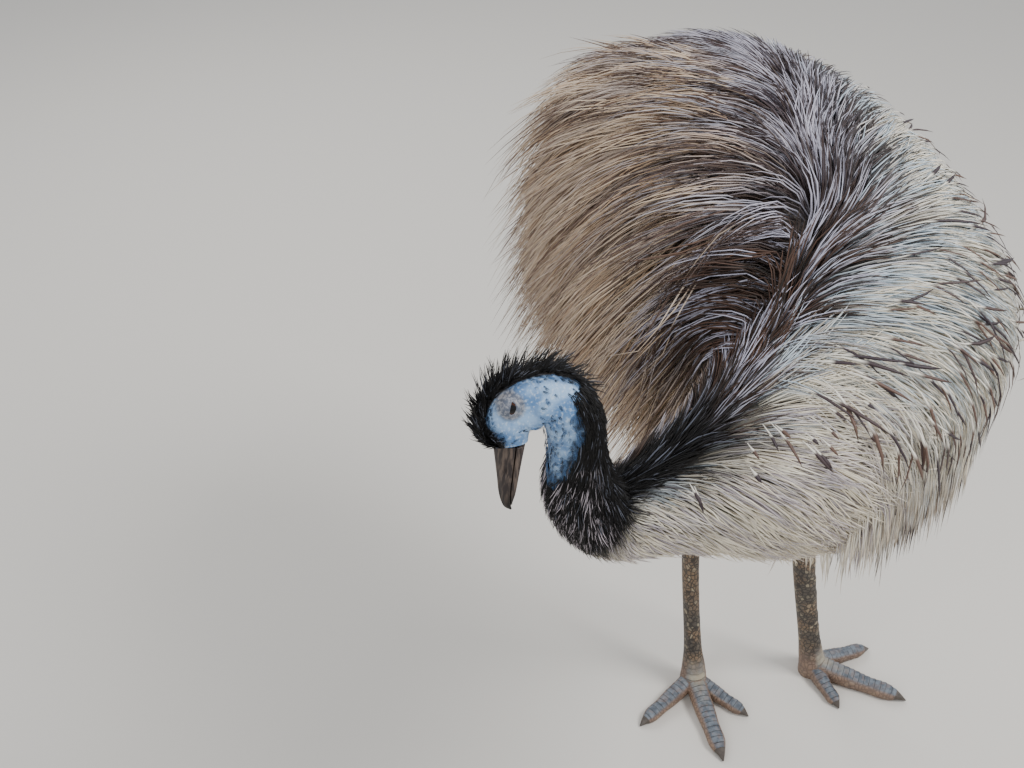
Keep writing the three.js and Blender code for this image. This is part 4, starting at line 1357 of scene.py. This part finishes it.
eye_material = material("eye", eye_finish)
eyes = []
for side, name in ((-1, "eyeball_right"), (1, "eyeball_left")):
    centre = eye_centre(side)
    axis = unit(side * head_left + EYE_AHEAD * head_forward)
    aside = unit(np.cross(axis, head_up))
    above = np.cross(aside, axis)
    tilt = np.repeat(np.linspace(0.002, np.pi - 0.002, EYE_GRID[0]), EYE_GRID[1])
    spin = np.tile(np.arange(EYE_GRID[1]) / EYE_GRID[1] * 2 * np.pi, EYE_GRID[0])
    bulge = EYE["radius"] * (1 + 0.03 * np.exp(-((tilt / 0.45) ** 2)))
    ray = (
        np.cos(tilt)[:, None] * axis
        + (np.sin(tilt) * np.cos(spin))[:, None] * aside
        + (np.sin(tilt) * np.sin(spin))[:, None] * above
    )
    points = centre + ray * bulge[:, None]
    piece = new_object(name, points, closed_faces(*EYE_GRID), {"ring": tilt}, eye_material)
    face_outwards(piece)
    eyes.append(piece)
print("eyes:", [eye.name for eye in eyes])

# %% [markdown]
# Claws are plain horn. Their solids already have the right form, so they only get a finish.

# %% Claws
CLAW_DARK, CLAW_PALE = paint("2a2522"), paint("5b5148")


def claw_finish(n):
    colour = n.mix(n.noise(n.place(), 200, 3), CLAW_DARK, CLAW_PALE)
    return {"Base Color": colour, "Roughness": 0.4}


claw_material = material("claw", claw_finish)
for name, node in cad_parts.items():
    if name.startswith("claw"):
        node.data.materials.clear()
        node.data.materials.append(claw_material)

# %% [markdown]
# Every piece rides on the one body, and the skin stands for the solids of flesh.

# %% Ride and replace
FLESH_NAMES = ("torso", "tail", "neck", "head", "thigh", "shank", "foot")
FLESH = [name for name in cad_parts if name.startswith(FLESH_NAMES)]
for piece in [skin, *pieces, *bills, *eyes]:
    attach(piece, "root")
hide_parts(*FLESH)
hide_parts("wing_left")
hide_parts("wing_right")
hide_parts("bill_upper")
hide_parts("bill_lower")
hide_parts("eye_right")
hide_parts("eye_left")
print("pieces:", len(pieces) + 5, "flesh nodes replaced by the skin:", len(FLESH))

# %% [markdown]
# A pale floor and soft light, with the camera where the photograph was taken from: above the
# bird's right side and ahead of it, looking down.

# %% Floor, light and camera
FLOOR_HALF = 6.0
floor_mesh = bpy.data.meshes.new("floor")
corners = [(FLOOR_HALF * x, FLOOR_HALF * y, 0) for x, y in ((-1, -1), (1, -1), (1, 1), (-1, 1))]
floor_mesh.from_pydata(corners, [], [(0, 1, 2, 3)])
floor = shown("floor", floor_mesh)
floor_mesh.materials.append(material("floor", lambda n: {"Base Color": paint("cfcac2"), "Roughness": 0.9}))

world = bpy.data.worlds.new("studio")
bpy.context.scene.world = world
world.use_nodes = True
sky = world.node_tree.nodes["Background"].inputs
sky["Color"].default_value = (0.9, 0.94, 1.0, 1.0)
sky["Strength"].default_value = 0.8


def softbox(name, place, size, power, target=(0.0, 0.0, 0.75)):
    light = bpy.data.lights.new(name, "AREA")
    light.size = size
    light.energy = power
    obj = shown(name, light)
    obj.location = place
    obj.rotation_euler = (Vector(target) - Vector(place)).to_track_quat("-Z", "Y").to_euler()


softbox("key", (1.6, -1.2, 3.2), 1.2, 95)
softbox("fill", (-2.6, -1.4, 2.0), 2.0, 30)
softbox("rim", (-0.5, 2.6, 2.6), 1.6, 40)

camera = bpy.data.cameras.new("camera")
SENSOR = 36
FOCAL_SHARE = 1100 / 1024  # focal length as a share of the picture's width
camera.sensor_width = SENSOR
camera.lens = FOCAL_SHARE * SENSOR
view = shown("camera", camera)
CAMERA_PLACE = Vector((-0.6037, -0.9407, 1.560))
right, up, ahead = (0.9397, -0.3420, 0.0), (0.2129, 0.5850, 0.7826), Vector((0.2677, 0.7354, -0.6225))
turned = Matrix((right, up, -ahead)).transposed().to_4x4()
view.matrix_world = Matrix.Translation(CAMERA_PLACE) @ turned
bpy.context.scene.camera = view
